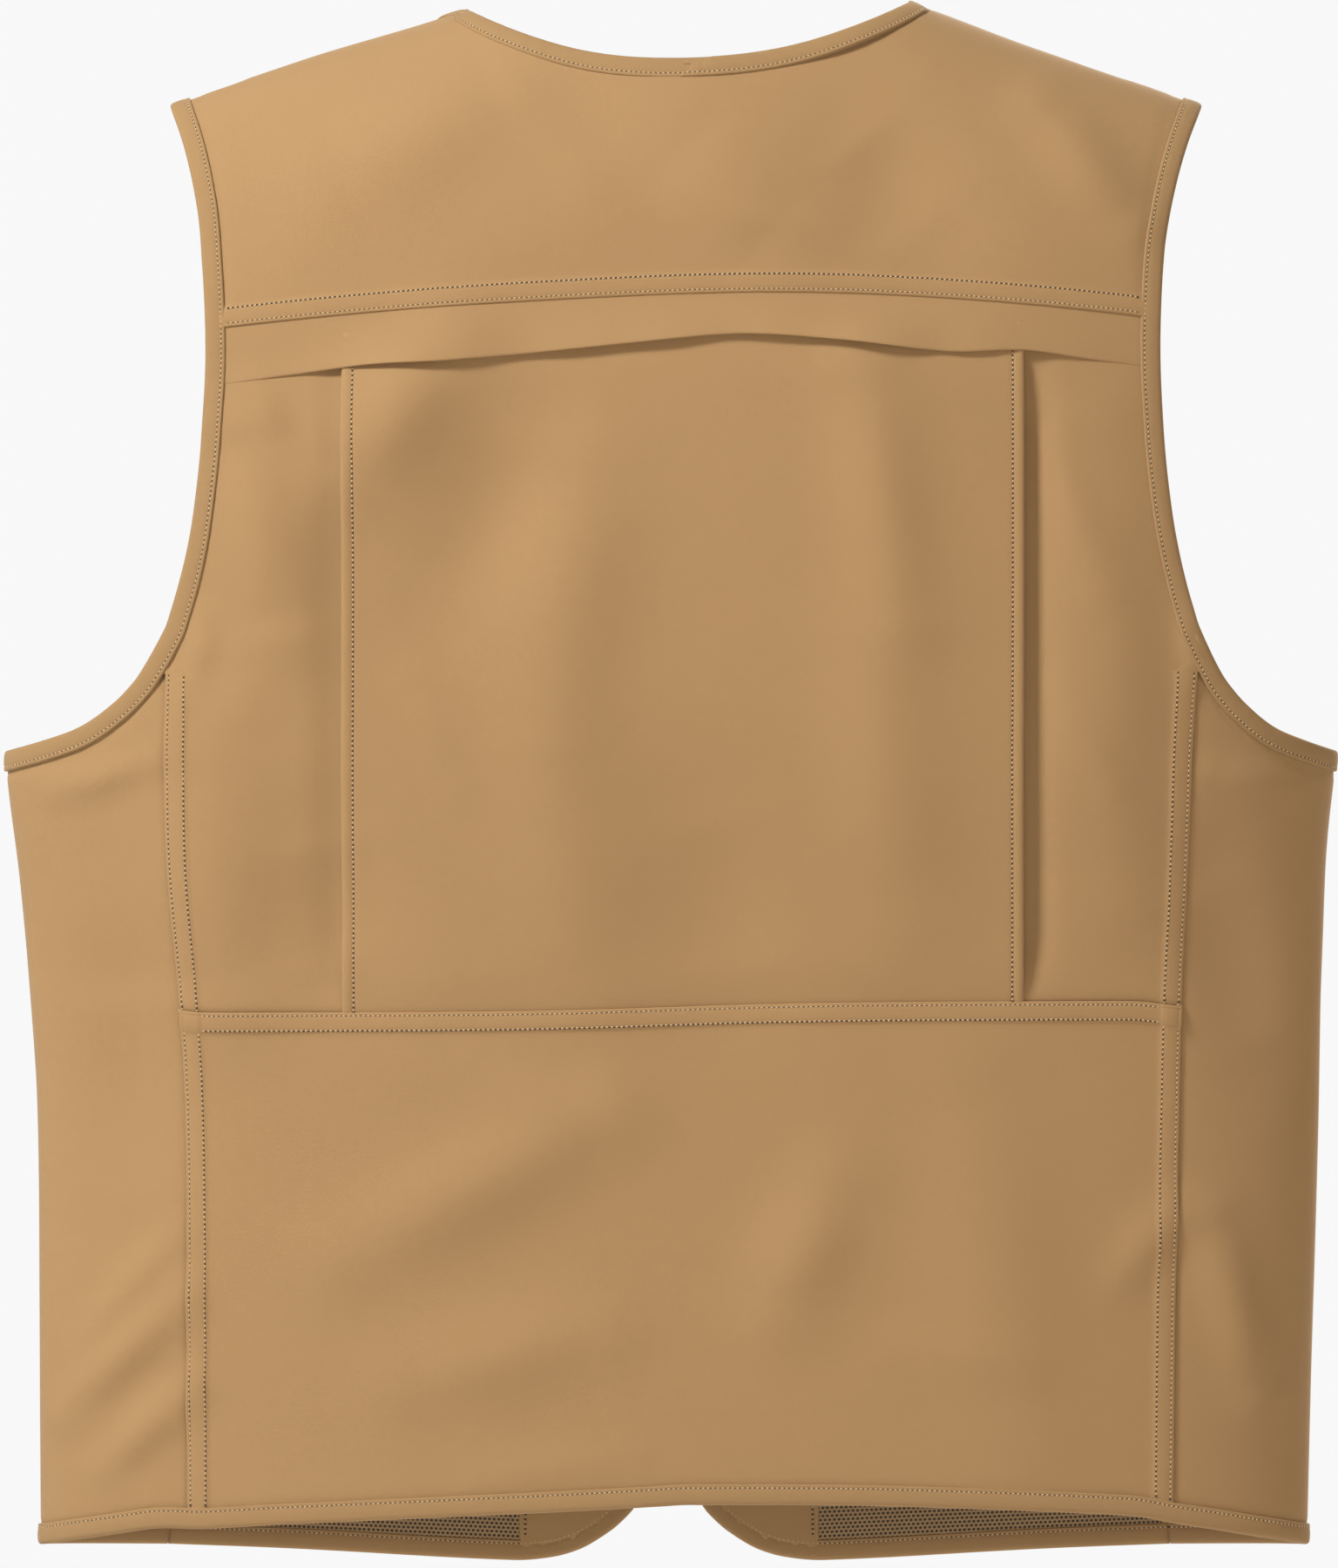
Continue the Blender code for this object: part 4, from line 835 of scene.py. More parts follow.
def add_stitches(name, lines, slot="shell_cloth", pitch=STITCH_PITCH):
    """Raised stitches, and between each two a near-black disc of painted shade for the needle hole."""
    centres, aheads, ups, ends = stitch_rows([(lean(p), n) for p, n in lines], pitch)
    template, faces = stitch_template()
    beside = np.cross(ups, aheads)
    sizes = (STITCH_LENGTH / 2 * pitch / STITCH_PITCH, STITCH_WIDE, STITCH_TALL)
    points = centres[:, None] + ups[:, None] * STITCH_RISE
    for k, axis in enumerate((aheads, beside, ups)):
        points = points + axis[:, None] * (template[:, k] * sizes[k])[None, :, None]
    count, size = len(centres), len(template)
    all_faces = [[n * size + k for k in face] for n in range(count) for face in faces]
    # Each needle hole is a flat disc just above the cloth in the near-black look: painted shade.
    hole_points, hole_ups = (np.concatenate(rows) for rows in zip(*ends))
    first = unit(np.cross(hole_ups, (0.3, 0.5, 0.8)))
    second = np.cross(hole_ups, first)
    turn = np.arange(CORNERS)[None, :, None] * 2 * math.pi / CORNERS
    round_hole = first[:, None] * np.cos(turn) + second[:, None] * np.sin(turn)
    disc = hole_points[:, None] + hole_ups[:, None] * HOLE_RISE + round_hole * HOLE_RADIUS
    start = count * size
    all_faces += [[start + CORNERS * n + k for k in range(CORNERS)] for n in range(len(hole_points))]
    looks = np.concatenate([np.zeros(count * len(faces), int), np.ones(len(hole_points), int)])
    everything = np.concatenate([points.reshape(-1, 3), disc.reshape(-1, 3)])
    return add_object(name, everything, all_faces, slot, [THREAD_LOOK, HOLE_SHADE_LOOK], looks)


# ---- Bindings: a folded tape swept along an edge ----

# The tape's section, as (distance from the outer edge, offset from the surface) in millimetres.
TAPE = (
    (9.4, 0.9), (9.35, 1.5), (9.05, 1.92), (8.5, 2.04), (7.9, 1.92), (7.6, 1.82), (7.3, 1.94), (6.4, 2.16),
    (4.6, 2.26), (2.4, 2.22), (1.2, 2.0), (0.45, 1.55), (0.08, 0.95), (0.0, 0.35), (0.1, -0.25), (0.5, -0.85),
    (1.3, -1.25), (2.6, -1.42), (4.8, -1.44), (6.6, -1.36), (7.3, -1.16), (7.6, -1.06), (7.9, -1.16),
    (8.6, -1.26), (9.1, -1.12), (9.35, -0.7), (9.4, -0.2),
)  # fmt: skip
TAPE_LINE = 7.6 * MM
TAPE_STEP = 2.0 * MM


def edge_rows(chart, route, at, side=1, toward=1):
    """Points and normals at an edge and one tape's width inside it, as rows of 12 numbers."""
    at = np.asarray(at, float)
    p0, n0 = off(chart, *route(at), 0.0, side)
    p1, n1 = off(chart, *inset(chart, route, at, BINDING * toward), 0.0, side)
    return np.concatenate([p0, n0, p1, n1], axis=1)


def mirrored(rows):
    return rows * np.tile([-1, 1, 1], 4)


def resampled(rows, extra=()):
    """The rows at even steps along their middle line, with more around the places in extra."""
    middle = (rows[:, 0:3] + rows[:, 6:9]) / 2
    run = run_of(middle)
    places = np.linspace(0, run[-1], int(run[-1] / TAPE_STEP) + 1)
    for place in extra:
        places = np.union1d(places, place + np.arange(-9, 9.01, 0.3) * MM)
    places = places[(places >= 0) & (places <= run[-1])]
    found = smooth(np.column_stack([run, rows]), places)
    found[:, 3:6], found[:, 9:12] = unit(found[:, 3:6]), unit(found[:, 9:12])
    return places, found


def ripple(s):
    """A gentle uneven puckering along a sewn edge."""
    return (
        np.sin(s * 2 * math.pi / (7.3 * MM))
        + 0.7 * np.sin(s * 2 * math.pi / (11.9 * MM) + 1.3)
        + 0.5 * np.sin(s * 2 * math.pi / (4.7 * MM) + 0.4)
    ) / 2.2


def tape_points(rows, distance, offset):
    share = (np.asarray(distance) / BINDING)[..., None]
    p = rows[:, None, 0:3] * (1 - share) + rows[:, None, 6:9] * share
    n = unit(rows[:, None, 3:6] * (1 - share) + rows[:, None, 9:12] * share)
    return p + n * np.asarray(offset)[..., None], n


def tape_offsets(places, distance, offset, joins):
    """The section's offsets along the tape: puckered, and a step higher past each slanting join."""
    s = places[:, None]
    d = np.asarray(distance)[None, :]
    o = np.asarray(offset)[None, :] + 0.0 * s
    o = o + 0.10 * MM * ripple(s + 0.3 * d) * np.sign(o) * ease(abs(o), 0.6 * MM, 1.4 * MM)
    for place, slant, height in joins:
        past = s - place - slant * (d - BINDING / 2)
        step = ease(past, 0.0, 0.35 * MM) * (1 - ease(past, 2.0 * MM, 30 * MM))
        o = o + height * step * ease(o, 0.3 * MM, 1.2 * MM)
    return d + 0 * s, o


def add_binding(name, rows, joins=()):
    """The swept tape, and the two lines of stitches that hold it, outside and inside."""
    places, fine = resampled(rows, [j[0] for j in joins])
    section = np.array(TAPE) * MM
    d, o = tape_offsets(places, section[:, 0], section[:, 1], joins)
    points, _ = tape_points(fine, d, o)
    count = len(section)
    a, b = points[1, 0] - points[0, 0], points[0, 1] - points[0, 0]
    middle = points[0].mean(0)
    flip = np.dot(np.cross(b, a), points[0, 0] - middle) < 0
    faces = grid_faces(len(places), count, closed_columns=True, flip=flip)
    last = (len(places) - 1) * count
    caps = [list(range(count)), [last + k for k in reversed(range(count))]]
    faces += [c[::-1] for c in caps] if not flip else caps
    girth = run_of(section)
    uv = np.stack([places[:, None] + 0 * girth, girth[None, :] + 0 * places[:, None]], -1)
    obj = add_object(name, lean(points), faces, "binding", uv=uv)
    lines = []
    for side, height in ((1, 1.84 * MM), (-1, 1.08 * MM)):
        line_d, line_o = tape_offsets(places, np.array([TAPE_LINE]), np.array([side * height]), joins)
        p, n = tape_points(fine, line_d, line_o)
        lines.append((p[:, 0], n[:, 0] * side))
    return obj, lines


# ---- The back ----

BASE, UNDER_BASE = 1.2 * MM, 0.9 * MM
SEAM_TOP = -0.2975  # The princess seam ends here, under the armhole's tape.


def side_edge(z):
    """Where the cloth of the back ends at the side: the princess seam, and above it the armhole."""
    seam = smooth(PRINCESS_SEAM, z) - 1.0 * MM
    return np.where(z < SEAM_TOP, seam, smooth(ARMHOLE_BACK_Z, z))


def straight(first, last, height):
    """An edge on the back from one x to another, at a height given by x."""

    def edge(t):
        x = between(first, last, t)
        return on_back(x, height(x))

    return edge


def upright(low, high, x_of, sign=1):
    """An edge on the back from one height up to another, at an x given by the height."""

    def edge(t):
        z = between(low, high, t)
        return on_back(sign * x_of(z), z)

    return edge


def both_sides(low, high, x_of):
    return upright(low, high, x_of, -1), upright(low, high, x_of)


yoke_side_z = yoke_seam(CROSS_HALF)
yoke_side_x = float(smooth(ARMHOLE_BACK_Z, yoke_side_z))
yoke_side_turn = float(level(yoke_side_x, yoke_side_z, 1))


NECK_BACK_SHARE = 0.8  # Of the neck's half run, the part behind the shoulder line.
NECK_SHARE = 0.6  # Of the yoke's top, the part along the neck.


def yoke_edge(t):
    turn = between(yoke_side_turn, SHOULDER_SEAM, t)
    back, front = smooth(ARMHOLE_BACK_TURNS, turn), smooth(ARMHOLE_FRONT_TURNS, turn)
    share = ease(turn, -0.02, 0.02)
    return back * share + front * (1 - share), turn


def yoke_neck(t):
    """From 0 at the centre back, over the shoulder line, to 1 at the forward shoulder seam."""
    behind = np.clip(t / NECK_BACK_SHARE, 0, 1) * 0.985
    a, b = inset(body, neck_back, np.maximum(behind, 1e-3), CLOTH_INSET)
    turn = SHOULDER_SEAM * np.clip((t - NECK_BACK_SHARE) / (1 - NECK_BACK_SHARE), 0, 1)
    front = smooth(NECK_FRONT_TURNS, turn)
    past = t > NECK_BACK_SHARE
    return np.where(past, front, a), np.where(past, turn, b)


def yoke_top(t):
    """The neck in the middle and the shoulder seams beside it."""
    across = abs(2 * t - 1)
    neck_x, neck_turn = yoke_neck(np.clip(across / NECK_SHARE, 0, 1))
    start, end = yoke_neck(np.array(1.0))[0], yoke_edge(1.0)[0]
    share = np.clip((across - NECK_SHARE) / (1 - NECK_SHARE), 0, 1)
    x = np.where(across <= NECK_SHARE, neck_x, between(start, end, share))
    turn = np.where(across <= NECK_SHARE, neck_turn, SHOULDER_SEAM)
    return np.copysign(x, t - 0.5), turn


def yoke_left(t):
    x, turn = yoke_edge(t)
    return -x, turn


YOKE_WIDTH, YOKE_TALL = 0.43, 0.125
yoke = Panel((straight(-yoke_side_x, yoke_side_x, yoke_seam), yoke_top, yoke_left, yoke_edge), tall=YOKE_TALL)


def yoke_columns():
    """Places across the yoke from 0 to 1, close together at its sides, and how far each is pinched."""
    near_side = 1 - np.array([22, 18, 15, 12.5, 10.8, 9.6, 8.4, 6, 3, 0]) * MM / (YOKE_WIDTH / 2)
    runs = [np.linspace(0, 0.2, 12), np.linspace(0.22, 0.5, 14), np.linspace(0.515, 0.9, 26)[:-1]]
    half = np.concatenate([*runs, near_side])
    pinch = np.interp((1 - half) * YOKE_WIDTH / 2, *(np.array(PINCHED).T * MM))
    places = np.concatenate([0.5 - half[::-1] / 2, 0.5 + half[1:] / 2])
    return places, np.concatenate([pinch[::-1], pinch[1:]])


def make_yoke():
    us, sides = yoke_columns()
    vs, rows = ladder(YOKE_TALL, 4 * MM, FELLED, FELLED)
    u, v = np.meshgrid(us, vs)
    low, high = Panel.ends(rows)
    along_shoulder = ease(abs(2 * u - 1), NECK_SHARE, NECK_SHARE + 0.03)
    lift = sides[None, :] * ease(v, 0.02, 0.10) + low[:, None] + high[:, None] * along_shoulder
    points, normals = yoke.places(u, v, lift)
    return sheet_object("yoke_cloth", points, normals, "shell_cloth")


def panel_line(panel, u, v, lift, count=260):
    """A line of points along a panel, at one u or one v, for stitches."""
    us = np.linspace(*u, count) if isinstance(u, tuple) else np.full(count, u)
    vs = np.linspace(*v, count) if isinstance(v, tuple) else np.full(count, v)
    return panel.places(us, vs, lift)


BAND_LIFT = 0.62 * MM
pieces = {}
root_lines = []

pieces["yoke"] = make_yoke()
for line in FELLED_LINES:
    root_lines.append(panel_line(yoke, (0.022, 0.978), line / YOKE_TALL, BAND_LIFT, 400))
    for u in ((0.015, 0.195), (0.805, 0.985)):
        root_lines.append(panel_line(yoke, u, 1 - line / YOKE_TALL, BAND_LIFT))

# The vent flap hangs from under the yoke's edge, sewn down at its two ends.
FLAP_TALL, FLAP_TUCK = 0.0295, 3.0 * MM
FLAP_LIFT, FLAP_STAND_OFF = 1.1 * MM, 4.4 * MM
flap_end = float(smooth(ARMHOLE_BACK_Z, -0.15))


def flap_height(u, v, p):
    """Flat at its seam and its sewn ends, and standing off at its free edge, with a few waves along it."""
    x = p[..., 0]
    free = (1 - v) ** 1.3
    inward = ease(flap_end - abs(x), 7 * MM, 105 * MM)
    wave = 0.6 * np.exp(-(((x - 0.118) / 0.014) ** 2)) - 0.8 * np.exp(-(((x + 0.116) / 0.010) ** 2))
    wave += 0.5 * np.sin(x * 60) + 0.3 * np.sin(x * 137 + 1)
    return FLAP_LIFT + (FLAP_STAND_OFF + wave * MM * (1 - v)) * free * inward


flap = Panel(
    (
        straight(-flap_end, flap_end, lambda x: smooth(FLAP_FOOT, x)),
        straight(-flap_end, flap_end, lambda x: yoke_seam(x) + FLAP_TUCK),
        upright(
            smooth(FLAP_FOOT, -flap_end), yoke_seam(flap_end) + FLAP_TUCK, lambda z: flap_end + 0 * z, -1
        ),
        upright(smooth(FLAP_FOOT, flap_end), yoke_seam(flap_end) + FLAP_TUCK, lambda z: flap_end + 0 * z),
    ),
    height=flap_height,
)
pieces["flap"] = flap.build(
    "vent_flap_cloth",
    ladder(2 * flap_end, 3 * MM),
    ladder(FLAP_TALL, 2.5 * MM, first=ROLLED),
)

# The centre panel, between the two pleat folds.
CENTRE_WIDTH, CENTRE_TALL = 2 * PLEAT_FOLD_X, 0.315


def centre_height(u, v, p):
    """The pleats hold the panel up between its sewn top and foot."""
    return 1.5 * MM + 1.5 * MM * ease(1 - v, 0.0, 0.10) * ease(v, 0.0, 0.07)


under_waist, under_flap = WAIST_Z - 4 * MM, yoke_seam(PLEAT_FOLD_X) - 7 * MM
centre = Panel(
    (
        straight(-PLEAT_FOLD_X, PLEAT_FOLD_X, lambda x: under_waist + 0 * x),
        straight(-PLEAT_FOLD_X, PLEAT_FOLD_X, lambda x: yoke_seam(x) - 7 * MM),
        *both_sides(under_waist, under_flap, lambda z: PLEAT_FOLD_X + 0 * z),
    ),
    height=centre_height,
)
pieces["centre"] = centre.build(
    "back_centre_cloth",
    ladder(CENTRE_WIDTH, 4 * MM, PLEAT, PLEAT),
    ladder(CENTRE_TALL, 4.5 * MM, UNDER),
)
for u in (PLEAT_LINE / CENTRE_WIDTH, 1 - PLEAT_LINE / CENTRE_WIDTH):
    root_lines.append(panel_line(centre, u, (4.5 * MM / CENTRE_TALL, 0.985), 0.02 * MM, 300))

# The gussets, from under each pleat to the princess seam and the armhole.
GUSSET_WIDE, GUSSET_TALL = 0.088, 0.312


def make_gusset(name, side):
    inner_x = PLEAT_FOLD_X - PLEAT_DEPTH
    foot, head = under_waist, yoke_seam(CROSS_HALF) - 1 * MM
    deep = 2.4 * MM if side > 0 else 3.6 * MM

    def height(u, v, p):
        """The cloth dips where it passes under the pleat, less so at its foot and its head."""
        beside = abs(p[..., 0]) - PLEAT_FOLD_X
        dip = deep * np.exp(-(((beside - 3 * MM) / (9 * MM)) ** 2))
        return UNDER_BASE - dip * ease(v, 0.01, 0.12) * (1 - 0.6 * ease(v, 0.8, 0.95))

    foot_x, head_x = side_edge(foot), side_edge(head)
    edges = (
        lambda t: on_back(between(inner_x, foot_x, t), foot + 0 * t),
        lambda t: on_back(between(inner_x, head_x, t), head + 5 * MM * (1 - t)),
        upright(foot, head, lambda z: inner_x + 0 * z),
        upright(foot, head, side_edge),
    )
    panel = Panel(edges, side=side, height=height)
    top_of_seam = (SEAM_TOP - foot) / (head - foot)

    def seam_only(u, v):
        return 1 - ease(v, top_of_seam - 0.004, top_of_seam + 0.012)

    piece = panel.build(
        f"back_gusset_cloth_{name}",
        ladder(GUSSET_WIDE, 3.5 * MM, (), FELLED),
        ladder(GUSSET_TALL, 4 * MM, UNDER),
        masks=(1, seam_only, 1, 1),
    )
    lines = [
        panel_line(panel, 1 - line / GUSSET_WIDE, (4 * MM / GUSSET_TALL, top_of_seam - 0.004), BAND_LIFT, 200)
        for line in FELLED_LINES
    ]
    return piece, lines


for name, side in SIDES:
    pieces[f"gusset_{name}"], lines = make_gusset(name, side)
    root_lines += lines

# The lower panel, whose top edge laps over the panels above it.
LOWER_WIDE, LOWER_TALL = 0.446, 0.228


def hem_inset(x):
    return smooth(HEM_BACK, abs(x)) + CLOTH_INSET


corner_z, over_waist = hem_inset(0.22), WAIST_Z + 0.5 * MM
lower_foot, lower_head = float(side_edge(corner_z)), float(side_edge(WAIST_Z))
lower = Panel(
    (
        straight(-lower_foot, lower_foot, hem_inset),
        straight(-lower_head, lower_head, lambda x: over_waist + 0 * x),
        *both_sides(corner_z, over_waist, side_edge),
    ),
    height=BASE,
)
pieces["lower"] = lower.build(
    "back_lower_cloth",
    ladder(LOWER_WIDE, 4 * MM, FELLED, FELLED),
    ladder(LOWER_TALL, 4.5 * MM, PINCHED, FELLED),
)
for line in FELLED_LINES:
    root_lines.append(panel_line(lower, (0.003, 0.997), 1 - line / LOWER_TALL, BAND_LIFT, 400))
    for u in (line / LOWER_WIDE, 1 - line / LOWER_WIDE):
        root_lines.append(panel_line(lower, u, (9 * MM / LOWER_TALL, 0.999), BAND_LIFT, 200))

# The side panels, round the fold from the princess seam to the front's seam.
SIDE_WIDE, SIDE_TALL = 0.155, 0.36
SIDE_FOOT_Z = -0.6885
SEAM_ALLOWANCE = 4.0 * MM
CORNER_LIFT, CORNER_SHARE = 2.8 * MM, 0.06  # The corner that tucks under the gusset and the armhole's tape.


def make_side(name, side):
    def back_edge(t):
        z = between(corner_z, -0.300 + CORNER_LIFT, t)
        return flank_angle(side_edge(np.minimum(z, -0.3041)) - SEAM_ALLOWANCE, z, True), z

    def front_edge_up(t):
        z = between(SIDE_FOOT_Z, -0.2895, t)
        return flank_angle(FRONT_SEAM_X - 3.5 * MM, z, False), z

    low_ends, high_ends = ((float(back_edge(t)[0]), float(front_edge_up(t)[0])) for t in (0.0, 1.0))

    def bottom(t):
        angle = between(*low_ends, t)
        return angle, side_hem(angle)[1] + CLOTH_INSET

    def top(t):
        angle = between(*high_ends, t)
        return angle, smooth(UNDERARM_Z, angle) + CORNER_LIFT * ease(CORNER_SHARE - t, 0, CORNER_SHARE)

    panel = Panel((bottom, top, back_edge, front_edge_up), flank, side, UNDER_BASE, wide=SIDE_WIDE)
    return panel.build(
        f"side_cloth_{name}",
        ladder(SIDE_WIDE, 3.5 * MM, UNDER, UNDER),
        ladder(SIDE_TALL, 4 * MM, PINCHED, PINCHED),
    )


for name, side in SIDES:
    pieces[f"side_{name}"] = make_side(name, side)

# The mesh behind the vent, and the mesh lining inside the back.
VENT_HALF = PLEAT_FOLD_X - PLEAT_DEPTH
VENT_FOOT, VENT_HEAD = -24 * MM, -0.5 * MM  # From the yoke's seam.
vent_z = yoke_seam(VENT_HALF)
vent = Panel(
    (
        straight(-VENT_HALF, VENT_HALF, lambda x: yoke_seam(x) + VENT_FOOT),
        straight(-VENT_HALF, VENT_HALF, lambda x: yoke_seam(x) + VENT_HEAD),
        *both_sides(vent_z + VENT_FOOT, vent_z + VENT_HEAD, lambda z: VENT_HALF + 0 * z),
    ),
    height=0.6 * MM,
)
pieces["vent"] = vent.build(
    "vent_mesh_cloth", ladder(0.272, 6 * MM), ladder(0.0235, 4 * MM), "mesh_lining", thickness=0.4 * MM
)

lining_foot = WAIST_Z - 0.205


def lining_head(x):
    return np.minimum(shoulder(x) - 0.034, neck_z(x) - 0.0115)


def lining_side(z):
    return side_edge(z) - 2 * MM


lining_corner = lining_head(0.2)
lining_low, lining_high = float(lining_side(lining_foot)), float(lining_side(lining_corner))
lining = Panel(
    (
        straight(-lining_low, lining_low, lambda x: lining_foot + 0 * x),
        straight(-lining_high, lining_high, lining_head),
        *both_sides(lining_foot, lining_corner, lining_side),
    ),
    height=-4.2 * MM,
)
pieces["lining"] = lining.build(
    "back_lining_cloth", ladder(0.43, 7 * MM), ladder(0.60, 7 * MM), "mesh_lining", thickness=0.5 * MM
)

# ---- Bindings of the neck, the armholes and the hem ----


def turn_at(table, z, side):
    return float(level(float(smooth(table, z)), z, side))


NECK_END = 0.97
SHOULDER_JOIN = -0.27
neck_half = np.concatenate(
    [
        edge_rows(body, neck_back, np.linspace(0.001, NECK_END, 24)),
        edge_rows(body, neck_front, np.linspace(-0.03, SHOULDER_JOIN, 6), toward=-1),
    ]
)
neck_rows = np.concatenate([mirrored(neck_half[::-1]), neck_half[1:]])
places, _ = resampled(neck_rows)
NECK_JOIN = places[-1] / 2 - 3.5 * MM
pieces["neck"], lines = add_binding("neck_tape", neck_rows, [(NECK_JOIN, 1.5, -0.45 * MM)])
root_lines += lines

for name, side in SIDES:
    top = edge_rows(body, armhole, np.linspace(-0.25, -0.04, 5), side)
    back = edge_rows(body, armhole, np.linspace(0.04, turn_at(ARMHOLE_BACK, -0.278, 1), 40), side)
    first, last = flank_angle(0.2415, -0.30, True), flank_angle(FRONT_SEAM_X + 1 * MM, -0.30, False)
    under = edge_rows(flank, underarm, np.linspace(first, last, 30), side)
    pieces[f"armhole_{name}"], lines = add_binding(f"armhole_tape_{name}", np.concatenate([top, back, under]))
    root_lines += lines

start, end = float(flank_angle(FRONT_SEAM_X + 0.3 * MM, -0.69, False)), float(flank_angle(0.243, -0.68, True))
hem_side = edge_rows(flank, lambda t: side_hem(-t), np.linspace(-start, -end, 34))
hem_back = edge_rows(body, lambda t: back_hem(-t), np.linspace(-0.232, 0.0, 28))
hem_rows = np.concatenate([hem_side, hem_back, mirrored(np.concatenate([hem_side, hem_back[:-1]])[::-1])])
places, _ = resampled(hem_rows)
HEM_JOIN = places[-1] / 2 + 49 * MM
pieces["hem"], lines = add_binding("hem_tape", hem_rows, [(HEM_JOIN, -0.9, 0.40 * MM)])
root_lines += lines

pieces["stitches"] = add_stitches("root_stitches", root_lines)

for key, nodes in (
    ("yoke", ["yoke"]),
    ("centre", ["back_panel_center"]),
    ("gusset_left", ["back_gusset_left"]),
    ("gusset_right", ["back_gusset_right"]),
    ("lower", ["back_panel_lower"]),
    ("side_left", ["side_panel_left"]),
    ("side_right", ["side_panel_right"]),
    ("vent", ["vent_mesh"]),
    ("lining", ["back_lining"]),
    ("neck", ["neck_binding"]),
    ("armhole_left", ["armhole_binding_left"]),
    ("armhole_right", ["armhole_binding_right"]),
    ("hem", ["hem_binding"]),
    ("stitches", []),
):
    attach(pieces[key], "root")
    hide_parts(*nodes)
flap_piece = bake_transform(pieces["flap"])
spots = np.zeros(len(flap_piece.data.vertices) * 3)
flap_piece.data.vertices.foreach_get("co", spots)
below_seam = yoke_seam(spots[::3]) - spots[2::3]
weights = ease(flap_end - abs(spots[::3]), 4 * MM, 70 * MM) * ease(below_seam, 0.5 * MM, 12 * MM)
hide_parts("vent_flap")

# ---- The fronts ----

CHEST_POCKET = dict(x0=0.045, x1=0.160, z0=-0.360, z1=-0.240, depth=10 * MM, drop=9 * MM, flap=0.046)
CARGO_POCKET = dict(x0=0.045, x1=0.203, z0=-0.645, z1=-0.455, depth=20 * MM, drop=17 * MM, flap=0.062)
CLOTH_OUT = 1.6 * MM
EDGE_LINE, FLANGE_LINE = 3.4 * MM, -2.2 * MM  # A pouch's lines of stitches, from its side's foot.
GROOVE = 0.35 * MM
FLAP_LINE, FLAP_DIP = 3.0 * MM, 5 * MM
FLAP_STAND, FLAP_ROOM, FLAP_CLOTH, FLAP_SIDE = 3.4 * MM, 2.4 * MM, 1.4 * MM, 3 * MM
CAP_SIZE = 6.5 * MM, 2.0 * MM
STUD_SIZE = 4.5 * MM, 1.0 * MM
RING_X, RING_Z, RING_OUT = 0.118, -0.2165, 4.6 * MM
FRONT_WIDE, FRONT_TALL = 0.205, 0.675
FACING_WIDE, INSIDE_TALL = 0.058, 0.485
FRONT_TOP_TURN = SHOULDER_SEAM + 0.021  # It tucks under the yoke.
V_SHARE = 0.70  # Of the front's inner side, the part along the zip.
ARM_SHARE = 0.615  # Of its outer side, the part along the side seam.
FRONT_SPLIT_Z = -0.200
EDGE_TOP, EDGE_FOOT = 0.012, 0.985  # The places on the front edge that the cloth reaches.


def bend_front(piece):
    """Bakes the piece's transform into its mesh, where it stays."""
    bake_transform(piece)


def front_medial(t):
    low = np.clip(t / V_SHARE, 0, 1)
    a, b = inset(body, front_edge, EDGE_FOOT * (1 - low) + EDGE_TOP * low, CLOTH_INSET)
    top = np.clip((t - V_SHARE) / (1 - V_SHARE), 0, 1)
    start = float(inset(body, front_edge, np.array(EDGE_TOP), CLOTH_INSET)[1])
    turn = between(start, FRONT_TOP_TURN, top)
    up = t > V_SHARE
    return np.where(up, smooth(NECK_FRONT_TURNS, turn), a), np.where(up, turn, b)


def front_lateral(t):
    low = np.clip(t / ARM_SHARE, 0, 1)
    z = between(SIDE_FOOT_Z, -0.2915, low)
    top = np.clip((t - ARM_SHARE) / (1 - ARM_SHARE), 0, 1)
    turn = between(turn_at(ARMHOLE_FRONT, -0.290, -1), FRONT_TOP_TURN, top)
    up = t > ARM_SHARE
    x = np.where(up, smooth(ARMHOLE_FRONT_TURNS, turn), FRONT_SEAM_X)
    return x, np.where(up, turn, level(FRONT_SEAM_X, z, -1))


def front_low(t):
    a, b = inset(body, front_hem, 0.015 + 0.977 * t, CLOTH_INSET)
    end = float(inset(body, front_hem, np.array(0.992), CLOTH_INSET)[0])
    return a + (FRONT_SEAM_X - end) * t, b


def front_high(t):
    first, last = float(front_medial(np.array(1.0))[0]), float(front_lateral(np.array(1.0))[0])
    return between(first, last, t), FRONT_TOP_TURN + 0 * t


def rows_between(first, last, step):
    return np.linspace(first, last, max(round((last - first) / step), 2) + 1)


def make_front_cloth(name, side):
    edges = (front_low, front_high, front_medial, front_lateral)
    panel = Panel(edges, side=side, height=BASE, tall=FRONT_TALL)

    def below_arm(u, v):
        return 1 - ease(v, ARM_SHARE - 0.02, ARM_SHARE + 0.005)

    piece = panel.build(
        f"front_cloth_{name}",
        ladder(FRONT_WIDE, 4 * MM, PINCHED, FELLED),
        ladder(FRONT_TALL, 4.5 * MM, PINCHED, UNDER),
        masks=(1, below_arm, 1, 1),
    )
    lines = [
        panel_line(panel, 1 - line / FRONT_WIDE, (9 * MM / FRONT_TALL, ARM_SHARE - 0.005), BAND_LIFT, 300)
        for line in FELLED_LINES
    ]
    return piece, lines


